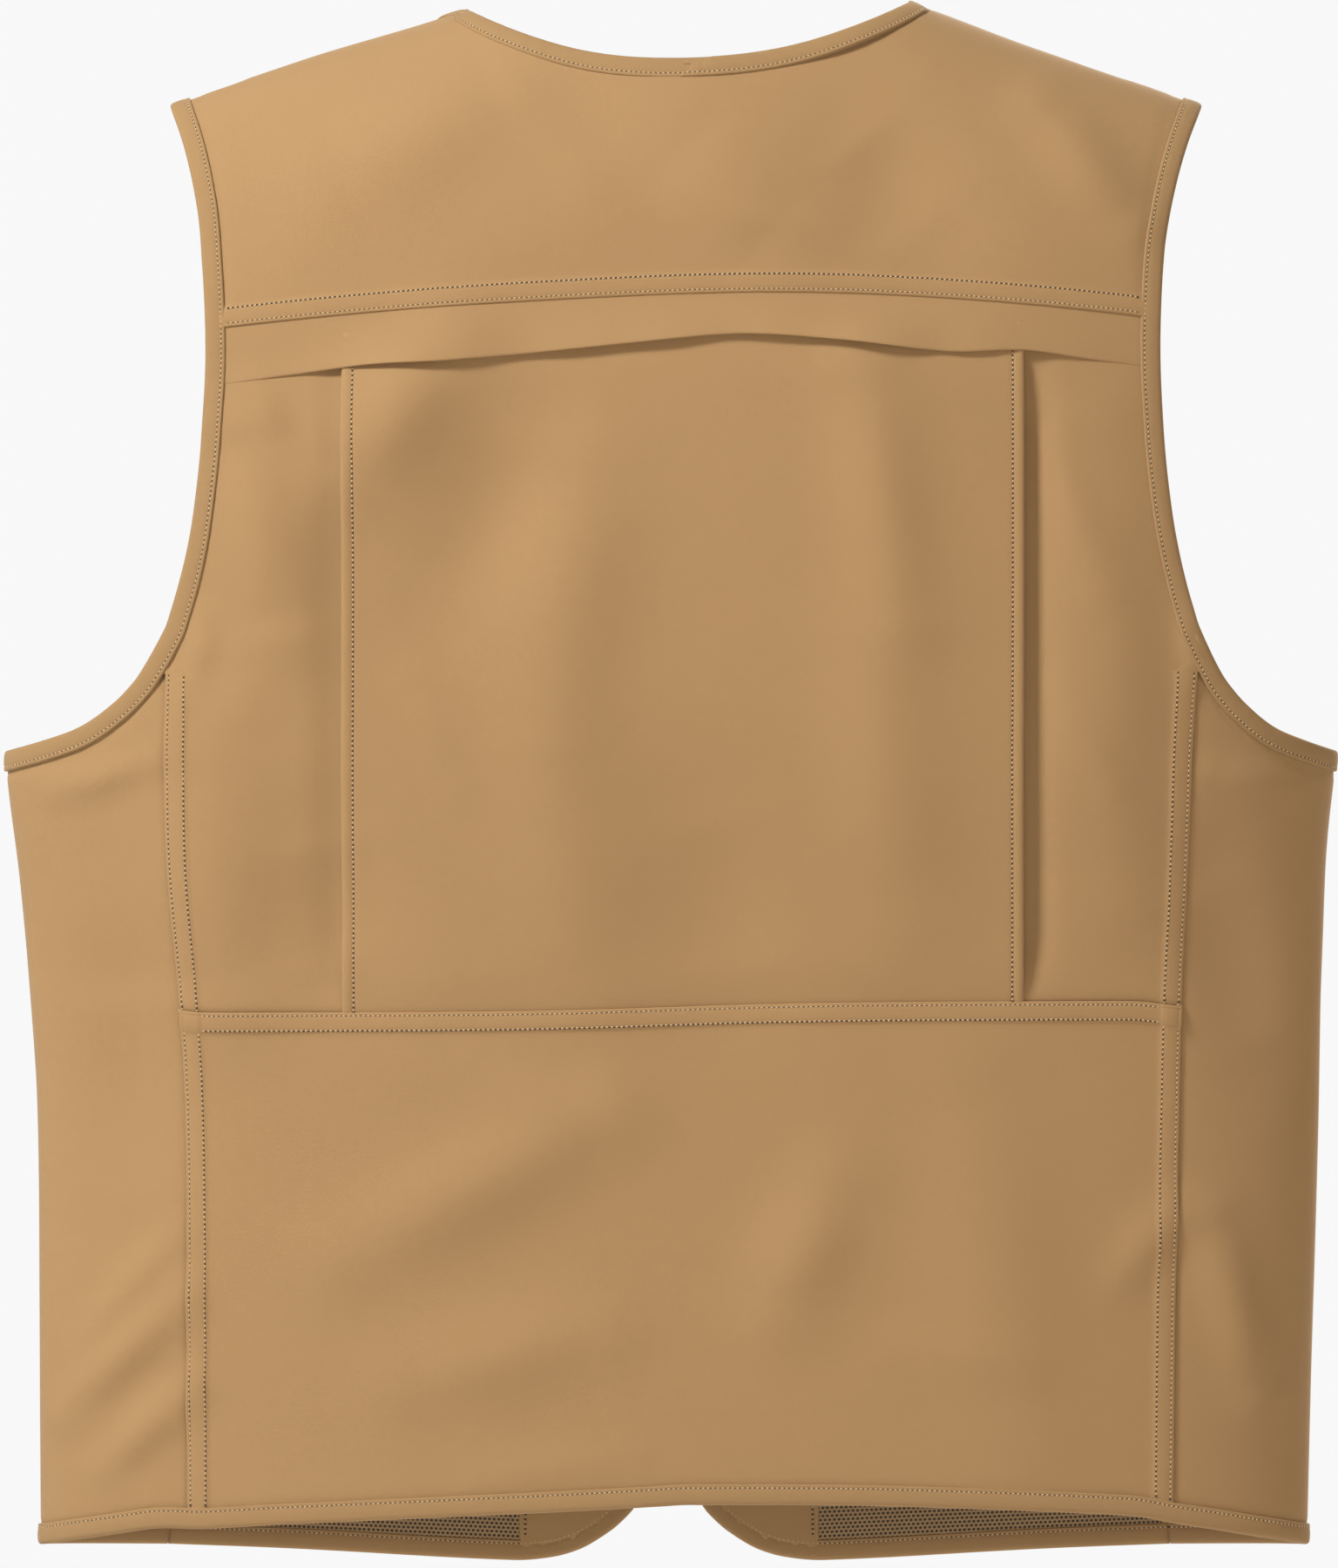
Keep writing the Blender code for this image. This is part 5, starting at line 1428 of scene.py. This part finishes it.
def make_front_tapes(name, side):
    """One tape from the shoulder down the V, the front edge and along the hem, and one round the armhole."""
    v_turns = np.linspace(SHOULDER_JOIN, turn_at(V_EDGE, -0.196, -1), 26)
    edge_shares = np.concatenate([np.linspace(0.03, 0.9, 40), np.linspace(0.915, 0.99, 8)])
    hem_shares = np.concatenate([np.linspace(0.012, 0.16, 10), np.linspace(0.18, 0.9995, 30)])
    rows = [
        edge_rows(body, neck_front, v_turns, side, toward=-1),
        edge_rows(body, front_edge, edge_shares, side),
        edge_rows(body, front_hem, hem_shares, side),
    ]
    tape, lines = add_binding(f"front_edge_tape_{name}", np.concatenate(rows))
    arm = edge_rows(body, armhole, np.linspace(-0.25, turn_at(ARMHOLE_FRONT, -0.2885, -1), 36), side)
    arm_tape, arm_lines = add_binding(f"front_armhole_tape_{name}", arm)
    return tape, arm_tape, lines + arm_lines


def make_front_insides(name, side):
    """The facing strip beside the zip, the knitted lining beside it, and the facing's line of stitches."""
    top_z = FRONT_SPLIT_Z - 4 * MM

    def medial(t):
        return inset(body, front_edge, EDGE_FOOT * (1 - t) + 0.02 * t, CLOTH_INSET)

    def low(t):
        a, b = inset(body, front_hem, 0.015 + 0.225 * t, CLOTH_INSET)
        end = float(inset(body, front_hem, np.array(0.24), CLOTH_INSET)[0])
        return a + (FACING_X - end) * t, b

    foot = float(body(*(float(k) for k in low(np.array(1.0))))[2])
    start = float(medial(np.array(1.0))[0])
    facing = Panel(
        (
            low,
            lambda t: on_front(between(start, FACING_X, t), top_z + 0 * t),
            medial,
            lambda t: on_front(FACING_X + 0 * t, between(foot, top_z, t)),
        ),
        side=side,
        height=-0.75 * MM,
    )
    folded = tuple((d, -l * 0.5) for d, l in ROLLED)
    across, down = ladder(FACING_WIDE, 4 * MM, (), folded), ladder(INSIDE_TALL, 5 * MM)
    piece = facing.build(f"front_facing_cloth_{name}", across, down)
    left = FACING_X - 6 * MM

    def side_x(z):
        under_arm = ARMHOLE_FRONT[0][0]
        return np.where(z < under_arm, FRONT_SEAM_X - 2 * MM, smooth(ARMHOLE_FRONT_Z, z) - 0.5 * MM)

    def hem_z(x):
        return smooth(((0.060, -0.6958), (0.17, -0.6905), (0.2255, -0.6880)), x)

    side_low, side_high = float(side_x(np.array(-0.68))), float(side_x(np.array(top_z)))

    def lateral(t):
        z = between(-0.688, top_z, t)
        return on_front(side_x(z), z)

    mesh = Panel(
        (
            lambda t: on_front(between(left, side_low, t), hem_z(between(left, side_low, t))),
            lambda t: on_front(between(left, side_high, t), top_z + 0 * t),
            lambda t: on_front(left + 0 * t, hem_z(left) + (top_z - hem_z(left)) * t),
            lateral,
        ),
        side=side,
        height=-0.35 * MM,
    )
    net = mesh.build(
        f"front_lining_cloth_{name}", ladder(0.16, 5 * MM), ladder(INSIDE_TALL, 6 * MM), "mesh_lining",
        thickness=0.45 * MM,
    )
    p, n = panel_line(facing, 1 - 2.2 * MM / FACING_WIDE, (0.02, 0.98), -0.85 * MM, 200)
    return piece, net, [(p, -n)]


def pouch_profile(distance, radius):
    t = np.clip(distance / radius, 0, 1)
    return np.sqrt(np.maximum(1 - (1 - t) ** 2.4, 0))


def make_pouch(kind, pocket, name, side):
    """A patch pocket that stands out on folded sides, with a stitched flange round it and a hemmed mouth."""
    x0, x1, z0 = pocket["x0"], pocket["x1"], pocket["z0"]
    z1 = pocket["z1"] - pocket["drop"]
    depth, radius = pocket["depth"] - 0.4 * MM, 0.30 * pocket["depth"]
    near = (-3.6, -2.6, -2.2, -1.8, -0.6, -0.05, 0.0, 0.04, 0.15, 0.4, 0.8, 1.4, 2.2, 3.0, 3.4, 3.8, 5.5)
    near = np.array(near) * MM
    xs = np.concatenate([x0 + near, rows_between(x0 + 8 * MM, x1 - 8 * MM, 4 * MM), x1 - near[::-1]])
    mouth = [z1 - 1.2 * MM, z1 - 0.3 * MM, z1]
    zs = np.concatenate([z0 + near, rows_between(z0 + 8 * MM, z1 - 3 * MM, 4 * MM), mouth])
    roll = np.concatenate([0 * zs, [-0.5, -1.0, -1.3, -1.4]]) * MM
    zs = np.concatenate([zs, [z1 + 0.1 * MM, z1 - 0.1 * MM, z1 - 2 * MM, z1 - 14 * MM]])
    x, z = np.meshgrid(xs, zs)
    from_side = np.minimum(x - x0, x1 - x)
    from_foot = z - z0
    rise = pouch_profile(from_side, radius) * pouch_profile(from_foot, radius)
    groove, flange = (
        sum(np.exp(-(((d - gap) / GROOVE) ** 2)) for d in (from_side, from_foot))
        for gap in (EDGE_LINE, FLANGE_LINE)
    )
    middle = np.sin(math.pi * np.clip((x - x0) / (x1 - x0), 0, 1))
    middle = middle * np.sin(math.pi * np.clip(from_foot / (z1 - z0), 0, 0.62))
    sag = 0.10 * pocket["depth"] * (middle - 0.6) + 0.25 * MM * np.sin(x * 190 + z * 60)
    out = CLOTH_OUT + 0.3 * MM + depth * rise + sag * rise**6 - 0.14 * MM * (groove * (rise > 0.9) + flange)
    lift = roll[:, None] * (rise > 0.5)
    points, normals = off(body, *on_front(x, z), out + lift, side)
    piece = sheet_object(f"{kind}_pouch_{name}", points, normals, "shell_cloth", thickness=0.7 * MM)

    def line(x, z, out):
        return off(body, *on_front(x, z), out, side)

    lines = []
    for gap, height in ((FLANGE_LINE, CLOTH_OUT + 0.2 * MM), (EDGE_LINE, CLOTH_OUT + 0.1 * MM + depth)):
        left, right, foot, top = x0 + gap, x1 - gap, z0 + gap, z1 - 1 * MM
        corners = [(left, top), (left, foot), (right, foot), (right, top)]
        for (ax, az), (bx, bz) in zip(corners, corners[1:]):
            t = np.linspace(0, 1, 80)
            lines.append(line(between(ax, bx, t), between(az, bz, t), height))
    t = np.linspace(x0 + 5 * MM, x1 - 5 * MM, 80)
    lines.append(line(t, 0 * t + z1 - 12 * MM, CLOTH_OUT + 0.25 * MM + depth))
    return piece, lines


def flap_route(pocket):
    """A flap's section from its seam down, as (offset outward, height), and the distance run along it."""
    top, front = pocket["z1"], CLOTH_OUT + pocket["depth"] + FLAP_ROOM
    points = np.array(
        [
            (FLAP_STAND + 0.7 * MM, top + 0.4 * MM),
            (FLAP_STAND + 0.5 * (front - FLAP_STAND) + 0.5 * MM, top - 0.30 * pocket["drop"] + 0.9 * MM),
            (front + 0.3 * MM, top - 0.75 * pocket["drop"] + 0.6 * MM),
            (front + 1.3 * MM, top - 1.3 * pocket["drop"]),
            (front + 1.35 * MM, top - 0.7 * pocket["flap"]),
            (front + 1.3 * MM, top - pocket["flap"]),
        ]
    )
    return run_of(points), points


def make_pocket_flap(kind, pocket, name, side):
    run, points = flap_route(pocket)
    section = np.column_stack([run, points])
    wide = pocket["x1"] - pocket["x0"] + 2 * FLAP_SIDE

    def place(u, v, lift):
        """Points on the flap, whose foot hangs a little lower in the middle."""
        found = smooth(section, v * run[-1])
        dip = FLAP_DIP * np.minimum((1 - abs(2 * u - 1)) * 3, 1) * ease(v, 0.5, 1.0)
        x = pocket["x0"] - FLAP_SIDE + wide * u
        return off(body, *on_front(x, found[..., 1] - dip), found[..., 0] + lift(x), side)

    us, across = ladder(wide, 4 * MM, ROLLED[2:], ROLLED[2:])
    vs, down = ladder(run[-1], 2.5 * MM, (), ROLLED)
    u, v = np.meshgrid(us, vs)
    edge = np.minimum(np.minimum(u, 1 - u) * wide, (1 - v) * run[-1])
    groove = -0.13 * MM * np.exp(-(((edge - FLAP_LINE) / GROOVE) ** 2))
    turned = sum(Panel.ends(across))[None, :] * ease(v, 0.02, 0.1) + Panel.ends(down)[1][:, None] + groove
    points, normals = place(u, v, lambda x: turned + 0.35 * MM * np.sin(x * 120) * ease(v, 0.5, 1.0))
    piece = sheet_object(f"{kind}_flap_cloth_{name}", points, normals, "shell_cloth", thickness=0.55 * MM)
    side_u, foot_v = FLAP_LINE / wide, 1 - FLAP_LINE / run[-1]
    corners = [(side_u, 0.10), (side_u, foot_v), (1 - side_u, foot_v), (1 - side_u, 0.10)]
    lines = []
    for (ua, va), (ub, vb) in zip(corners, corners[1:]):
        t = np.linspace(0, 1, 90)
        lines.append(place(between(ua, ub, t), between(va, vb, t), lambda x: -0.05 * MM))
    return piece, lines


def lathe(name, profile, size, x, z, out, side, turns=28):
    """A round fitting on the front: profile rows are shares of size, its radius and its height."""
    centre, normal = off(body, *on_front(np.array(x), np.array(z)), out, side)
    first = unit(np.cross(normal, (0, 0, 1.0)))
    second = np.cross(normal, first)
    turn = np.arange(turns) * 2 * math.pi / turns
    spokes = first[None] * np.cos(turn)[:, None] + second[None] * np.sin(turn)[:, None]
    profile = np.array(profile) * size
    points = centre + spokes[None] * profile[:, 0][:, None, None] + normal * profile[:, 1][:, None, None]
    faces = grid_faces(len(profile), turns, closed_columns=True)
    faces += [list(range(turns))[::-1], [(len(profile) - 1) * turns + k for k in range(turns)]]
    return add_object(name, points, faces, "antique_brass")


# A snap's cap, with a rolled rim, a flat ring and a low dome in the middle, and the stud under it.
CAP = (
    (0.94, 0.0), (1.0, 0.14), (1.0, 0.40), (0.96, 0.62), (0.90, 0.70), (0.84, 0.66), (0.80, 0.55),
    (0.62, 0.52), (0.56, 0.60), (0.46, 0.82), (0.30, 0.95), (0.12, 1.0), (0.03, 1.0),
)  # fmt: skip
STUD = ((0.95, 0.0), (1.0, 0.2), (0.95, 0.5), (0.6, 0.55), (0.45, 0.9), (0.2, 1.0), (0.04, 1.0))

TOOTH_PITCH = 2.5 * MM


def make_teeth(name, side):
    """Moulded teeth along one chain, each a small block with a rounded head."""
    low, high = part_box(f"zip_chain_{name}")
    count = int((high.z - low.z) / TOOTH_PITCH)
    outer, inner = (high.x, low.x) if side > 0 else (low.x, high.x)
    shift = 0.0 if side > 0 else TOOTH_PITCH / 2
    outline = [(0.0, 0.62), (0.55, 0.62), (0.62, 0.42), (0.78, 0.40), (0.86, 0.6), (1.0, 0.5)]
    ring = outline + [(t, -w) for t, w in reversed(outline)]
    middle_y, deep = (low.y + high.y) / 2, (high.y - low.y) / 2
    layers = ((-1.0, 0.72), (-0.72, 1.0), (0.72, 1.0), (1.0, 0.72))
    template = [
        (between(outer, inner, t), middle_y + deep * y, w * MM * scale)
        for y, scale in layers
        for t, w in ring
    ]
    size = len(ring)
    faces = grid_faces(len(layers), size, closed_columns=True)
    faces += [list(range(size)), [(len(layers) - 1) * size + k for k in reversed(range(size))]]
    template = np.array(template)
    zs = low.z + TOOTH_PITCH / 2 + shift / 2 + np.arange(count) * TOOTH_PITCH
    points = template[None] + np.stack([0 * zs, 0 * zs, zs], -1)[:, None]
    everything = [[n * len(template) + k for k in face] for n in range(count) for face in faces]
    return add_object(f"zip_teeth_{name}", points, everything, "zip_nylon")


def make_zip_tape(name, side):
    low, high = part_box(f"zip_tape_{name}")
    reach = np.linspace(0, 1, 12)
    first, last = (low.x, high.x) if side > 0 else (high.x, low.x)
    xs = between(first, last, reach)
    zs = rows_between(low.z, high.z, 6 * MM)
    x, z = np.meshgrid(xs, zs)
    y = low.y + 0.1 * MM + 0 * x + 0.12 * MM * np.cos(reach * 9)[None, :]
    points = np.stack([x, y, z], -1)
    normals = np.tile([0, -1.0, 0], (*x.shape, 1))
    return sheet_object(f"zip_tape_cloth_{name}", points, normals, "webbing", 0.5 * MM)


for name, side in SIDES:
    front, front_stitches = f"front_{name}", []
    cloth, lines = make_front_cloth(name, side)
    front_stitches += lines
    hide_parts(f"front_yoke_{name}", f"front_panel_{name}")
    tape, arm_tape, lines = make_front_tapes(name, side)
    front_stitches += lines
    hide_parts(f"front_edge_binding_{name}")
    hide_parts(f"front_armhole_binding_{name}")
    facing, net, lines = make_front_insides(name, side)
    front_stitches += lines
    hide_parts(f"front_facing_{name}")
    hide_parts(f"front_lining_{name}")
    seams = add_stitches(f"front_stitches_{name}", front_stitches)
    for piece in (cloth, tape, arm_tape, seams, facing, net):
        bend_front(piece)
    pieces[f"front_{name}"] = cloth
    pieces[f"front_hems_{name}"] = [tape, arm_tape, seams]
    pieces[f"facing_{name}"], pieces[f"net_{name}"] = facing, net

    pouch_lines = []
    for kind, pocket, snaps in (("chest", CHEST_POCKET, (0.1025,)), ("cargo", CARGO_POCKET, (0.078, 0.170))):
        pouch, lines = make_pouch(kind, pocket, name, side)
        pouch_lines += lines
        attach(pouch, front)
        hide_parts(f"{kind}_pocket_{name}")
        lid, lid_lines = make_pocket_flap(kind, pocket, name, side)
        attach(lid, f"{kind}_flap_{name}")
        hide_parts(f"{kind}_flap_{name}")
        lid_stitches = add_stitches(f"{kind}_flap_stitches_{name}", lid_lines)
        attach(lid_stitches, f"{kind}_flap_{name}")
        flap_route(pocket)[0][-1]
        snap_z = pocket["z1"] - 0.72 * pocket["flap"]
        face = CLOTH_OUT + pocket["depth"]
        for number, x in enumerate(snaps, 1):
            tail = f"{name}_{number}" if len(snaps) > 1 else name
            stud = lathe(f"{kind}_stud_metal_{tail}", STUD, STUD_SIZE, x, snap_z, face, side)
            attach(stud, front)
            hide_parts(f"{kind}_stud_{tail}")
            lift = face + FLAP_ROOM + FLAP_CLOTH - 0.2 * MM
            cap = lathe(f"{kind}_snap_metal_{tail}", CAP, CAP_SIZE, x, snap_z, lift, side)
            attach(cap, f"{kind}_flap_{name}")
            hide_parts(f"{kind}_snap_{tail}")
    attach(add_stitches(f"pocket_stitches_{name}", pouch_lines), front)

    teeth = make_teeth(name, side)
    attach(teeth, front)
    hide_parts(f"zip_chain_{name}")
    zip_tape = make_zip_tape(name, side)
    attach(zip_tape, front)
    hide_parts(f"zip_tape_{name}")

# ---- The hang loop, the blank label and the ring's tab ----

LOOP_HALF, LOOP_TALL, LOOP_BULGE = 0.030, 5.2 * MM, 14 * MM
LABEL_HALF, LABEL_TOP, LABEL_TALL = 0.024, -0.058, 0.030
LOOP_OUT, LABEL_OUT = -7.4 * MM, -7.7 * MM  # Inside the lining.


def make_hang_loop():
    """A narrow band that stands off the inside of the back neck, its ends tucked flat against the lining."""
    t = np.linspace(0, 1, 49)[:, None]
    w = np.linspace(-0.5, 0.5, 7)[None, :]
    x, bulge = LOOP_HALF * np.cos(math.pi * t) + 0 * w, np.sin(math.pi * t) + 0 * w
    z = -0.041 - 0.004 * bulge
    points, normals = off(body, *on_back(x, z), LOOP_OUT)
    points[..., 1] -= LOOP_BULGE * bulge + 0.35 * MM * (2 * w) ** 2
    points[..., 2] += LOOP_TALL * w
    return sheet_object("hang_loop_band", points, -normals, "webbing", 1.1 * MM)


def make_label():
    """A woven label with turned edges and a row of stitches round it, left blank."""
    us, across = ladder(2 * LABEL_HALF, 2.5 * MM, ROLLED[2:], ROLLED[2:])
    vs, down = ladder(LABEL_TALL, 2.5 * MM, ROLLED[2:], ROLLED[2:])
    u, v = np.meshgrid(us, vs)
    turned = sum(Panel.ends(across))[None, :] + sum(Panel.ends(down))[:, None]
    lift = 0.5 * turned + 0.2 * MM * np.sin(u * 7) * np.sin(v * 4)

    def at(u, v, lift):
        x, z = (2 * u - 1) * LABEL_HALF, LABEL_TOP - LABEL_TALL * (1 - v)
        return off(body, *on_back(x, z), LABEL_OUT - lift)

    points, normals = at(u, v, lift)
    label = sheet_object("neck_label_cloth", points, -normals, "label", 0.35 * MM)
    gap_u, gap_v = 1.6 * MM / (2 * LABEL_HALF), 1.6 * MM / LABEL_TALL
    corners = [(gap_u, gap_v), (1 - gap_u, gap_v), (1 - gap_u, 1 - gap_v), (gap_u, 1 - gap_v), (gap_u, gap_v)]
    lines = []
    for (ua, va), (ub, vb) in zip(corners, corners[1:]):
        t = np.linspace(0, 1, 40)
        points, normals = at(between(ua, ub, t), between(va, vb, t), 0.1 * MM)
        lines.append((points, -normals))
    return label, add_stitches("neck_label_stitches", lines, "label", pitch=1.9 * MM)


def make_ring_tab():
    """A folded tape that holds the ring, sewn down with a box of stitches."""
    base, outward = off(body, *on_front(np.array(RING_X), np.array(RING_Z)))
    outward = unit(outward)
    across = unit(np.cross(outward, (0, 0, 1.0)))
    up = unit(np.cross(across, outward))
    up = up if up[2] > 0 else -up
    pivot = base + outward * (CLOTH_OUT + RING_OUT)
    hollow, thick = 1.8 * MM, 1.1 * MM
    back = -RING_OUT + 0.15 * MM + thick
    turn = np.linspace(0.4, math.pi - 0.4, 12)
    line = [(back, 12 * MM), (back, 7 * MM), (back, 3.5 * MM), (-hollow - 0.5 * MM, 0.5 * MM)]
    line += list(zip(-hollow * np.cos(turn), -hollow * np.sin(turn)))
    line += [(hollow - 0.2 * MM, 1.0 * MM), (-0.5 * MM, 4.5 * MM), (back + 0.2 * MM + thick, 8 * MM)]
    line += [(back + 0.2 * MM + thick, 11.9 * MM)]
    run = run_of(line)
    fine = smooth(np.column_stack([run, line]), np.linspace(0, run[-1], 60))
    ahead = np.gradient(fine, axis=0)
    left = unit(np.stack([ahead[:, 1], -ahead[:, 0]], -1))
    fine = fine + left * thick
    w = np.linspace(-1, 1, 9)[None, :, None]
    edge = 0.25 * MM * abs(w) ** 6

    def lay(rows, sides, wide):
        return (
            pivot
            + outward * (rows[:, 0][:, None, None] + sides[:, 0][:, None, None] * wide)
            + up * (rows[:, 1][:, None, None] + sides[:, 1][:, None, None] * wide)
            + across * (w * 8.5 * MM)
        )

    points = lay(fine, left, -edge)
    normals = outward * left[:, 0][:, None, None] + up * left[:, 1][:, None, None] + 0 * points
    tab = sheet_object("ring_tab_tape", points, normals, "webbing", 1.0 * MM)
    face = fine[-1, 0] + 0.05 * MM
    corners = [(-1, 5.5), (1, 5.5), (1, 10.8), (-1, 10.8), (-1, 5.5), (1, 10.8)]
    lines = []
    for (xa, za), (xb, zb) in zip(corners, corners[1:]):
        t = np.linspace(0, 1, 30)[:, None]
        x, z = between(xa, xb, t) * 6.6 * MM, between(za, zb, t) * MM
        depth = np.interp(z[:, 0], [4.5 * MM, 8 * MM], [-0.5 * MM + thick, face])[:, None]
        points = pivot + across * x + up * z + outward * depth
        lines.append((points, np.tile(outward, (len(points), 1))))
    return tab, add_stitches("ring_tab_stitches", lines, "webbing", pitch=1.9 * MM)


loop = make_hang_loop()
label, label_stitches = make_label()
tab, tab_stitches = make_ring_tab()
for piece, node in ((loop, "hang_loop"), (label, "neck_label"), (label_stitches, None)):
    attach(piece, "root")
    if node:
        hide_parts(node)
for piece in (tab, tab_stitches):
    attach(piece, "front_left")
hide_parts("d_ring_tab")

# ---- The look of the CAD nodes that stay, and the studio ----

BRASS_NODES = ("zip_slider", "zip_pull", "zip_retaining_box", "zip_insertion_pin", "d_ring")
for node in BRASS_NODES:
    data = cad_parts[node].data
    data.materials.clear()
    data.materials.append(LOOKS["antique_brass"])


LIGHTS_AIM = (0, 0, -0.35)
LIGHTS = (
    ("key", (2.2, 1.75, 2.4), 0.8, 244.0, (0.95, 1.0, 1.06)),
    ("soft_back", (-3.6, 2.6, -0.1), 2.6, 34.0, (1.0, 0.88, 0.76)),
    ("low_back", (0.2, 3.4, -1.02), 1.2, 20.0, (1.0, 0.88, 0.76)),
    ("fill", (-1.8, -3.2, 1.4), 2.4, 190.0, (1.0, 1.0, 1.0)),
)
WORLD_SKY, WORLD_HORIZON = 0.23, 0.94
WORLD_BAND_LOW, WORLD_BAND_HIGH = 0.04, 0.12
FLOOR_HALF, FLOOR_Z = 6.0, -1.15
LENS = 600.0
SENSOR = 36.0
FRAME_HEIGHT = 0.702
CAMERA_Z = -0.348
SEEN_PLANE_Y = 0.02  # The depth at which the frame has that height.


def add_light(name, place, size, power, colour):
    """A square soft light that faces the middle of the garment."""
    data = bpy.data.lights.new(name, "AREA")
    data.color = colour
    data.shape = "SQUARE"
    data.size = size
    data.energy = power
    light = bpy.data.objects.new(name, data)
    bpy.context.scene.collection.objects.link(light)
    light.location = place
    toward = Vector(LIGHTS_AIM) - light.location
    light.rotation_euler = toward.to_track_quat("-Z", "Y").to_euler()


def studio():
    world = bpy.data.worlds.new("studio")
    world.use_nodes = True
    tree = world.node_tree
    background = tree.nodes["Background"]
    background.inputs[0].default_value = (1.0, 1.0, 1.0, 1.0)
    height = tree.nodes.new("ShaderNodeSeparateXYZ")
    away = tree.nodes.new("ShaderNodeMath")
    away.operation = "ABSOLUTE"
    glow = tree.nodes.new("ShaderNodeMapRange")
    for index, value in enumerate((WORLD_BAND_LOW, WORLD_BAND_HIGH, WORLD_HORIZON, WORLD_SKY), 1):
        glow.inputs[index].default_value = value
    tree.links.new(tree.nodes.new("ShaderNodeTexCoord").outputs["Generated"], height.inputs[0])
    tree.links.new(height.outputs[2], away.inputs[0])
    tree.links.new(away.outputs[0], glow.inputs[0])
    tree.links.new(glow.outputs[0], background.inputs[1])
    bpy.context.scene.world = world
    for light in LIGHTS:
        add_light(*light)
    bpy.context.scene.view_settings.view_transform = "Standard"
    floor_mesh = bpy.data.meshes.new("floor")
    corners = [(x * FLOOR_HALF, y * FLOOR_HALF, 0) for x, y in ((-1, -1), (1, -1), (1, 1), (-1, 1))]
    floor_mesh.from_pydata(corners, [], [(0, 1, 2, 3)])
    n = Nodes("floor", 0.9)
    spot = n.add("TexCoord")
    drift = n.noise(spot.outputs["Object"], 0.8, 2.0)
    floor_mesh.materials.append(n.finish(n.mix(drift, (0.74, 0.73, 0.72, 1), (0.80, 0.79, 0.78, 1))))
    floor = bpy.data.objects.new("floor", floor_mesh)
    floor.location = (0, 0, FLOOR_Z)
    bpy.context.scene.collection.objects.link(floor)


def camera():
    data = bpy.data.cameras.new("camera")
    data.lens = LENS
    data.sensor_width = SENSOR
    data.clip_start, data.clip_end = 0.1, 60.0
    obj = bpy.data.objects.new("camera", data)
    bpy.context.scene.collection.objects.link(obj)
    distance = FRAME_HEIGHT / 2 * LENS / (SENSOR / 2)
    obj.location = (0.0, distance + SEEN_PLANE_Y, CAMERA_Z)
    obj.rotation_euler = (math.pi / 2, 0, math.pi)
    bpy.context.scene.camera = obj


studio()
camera()
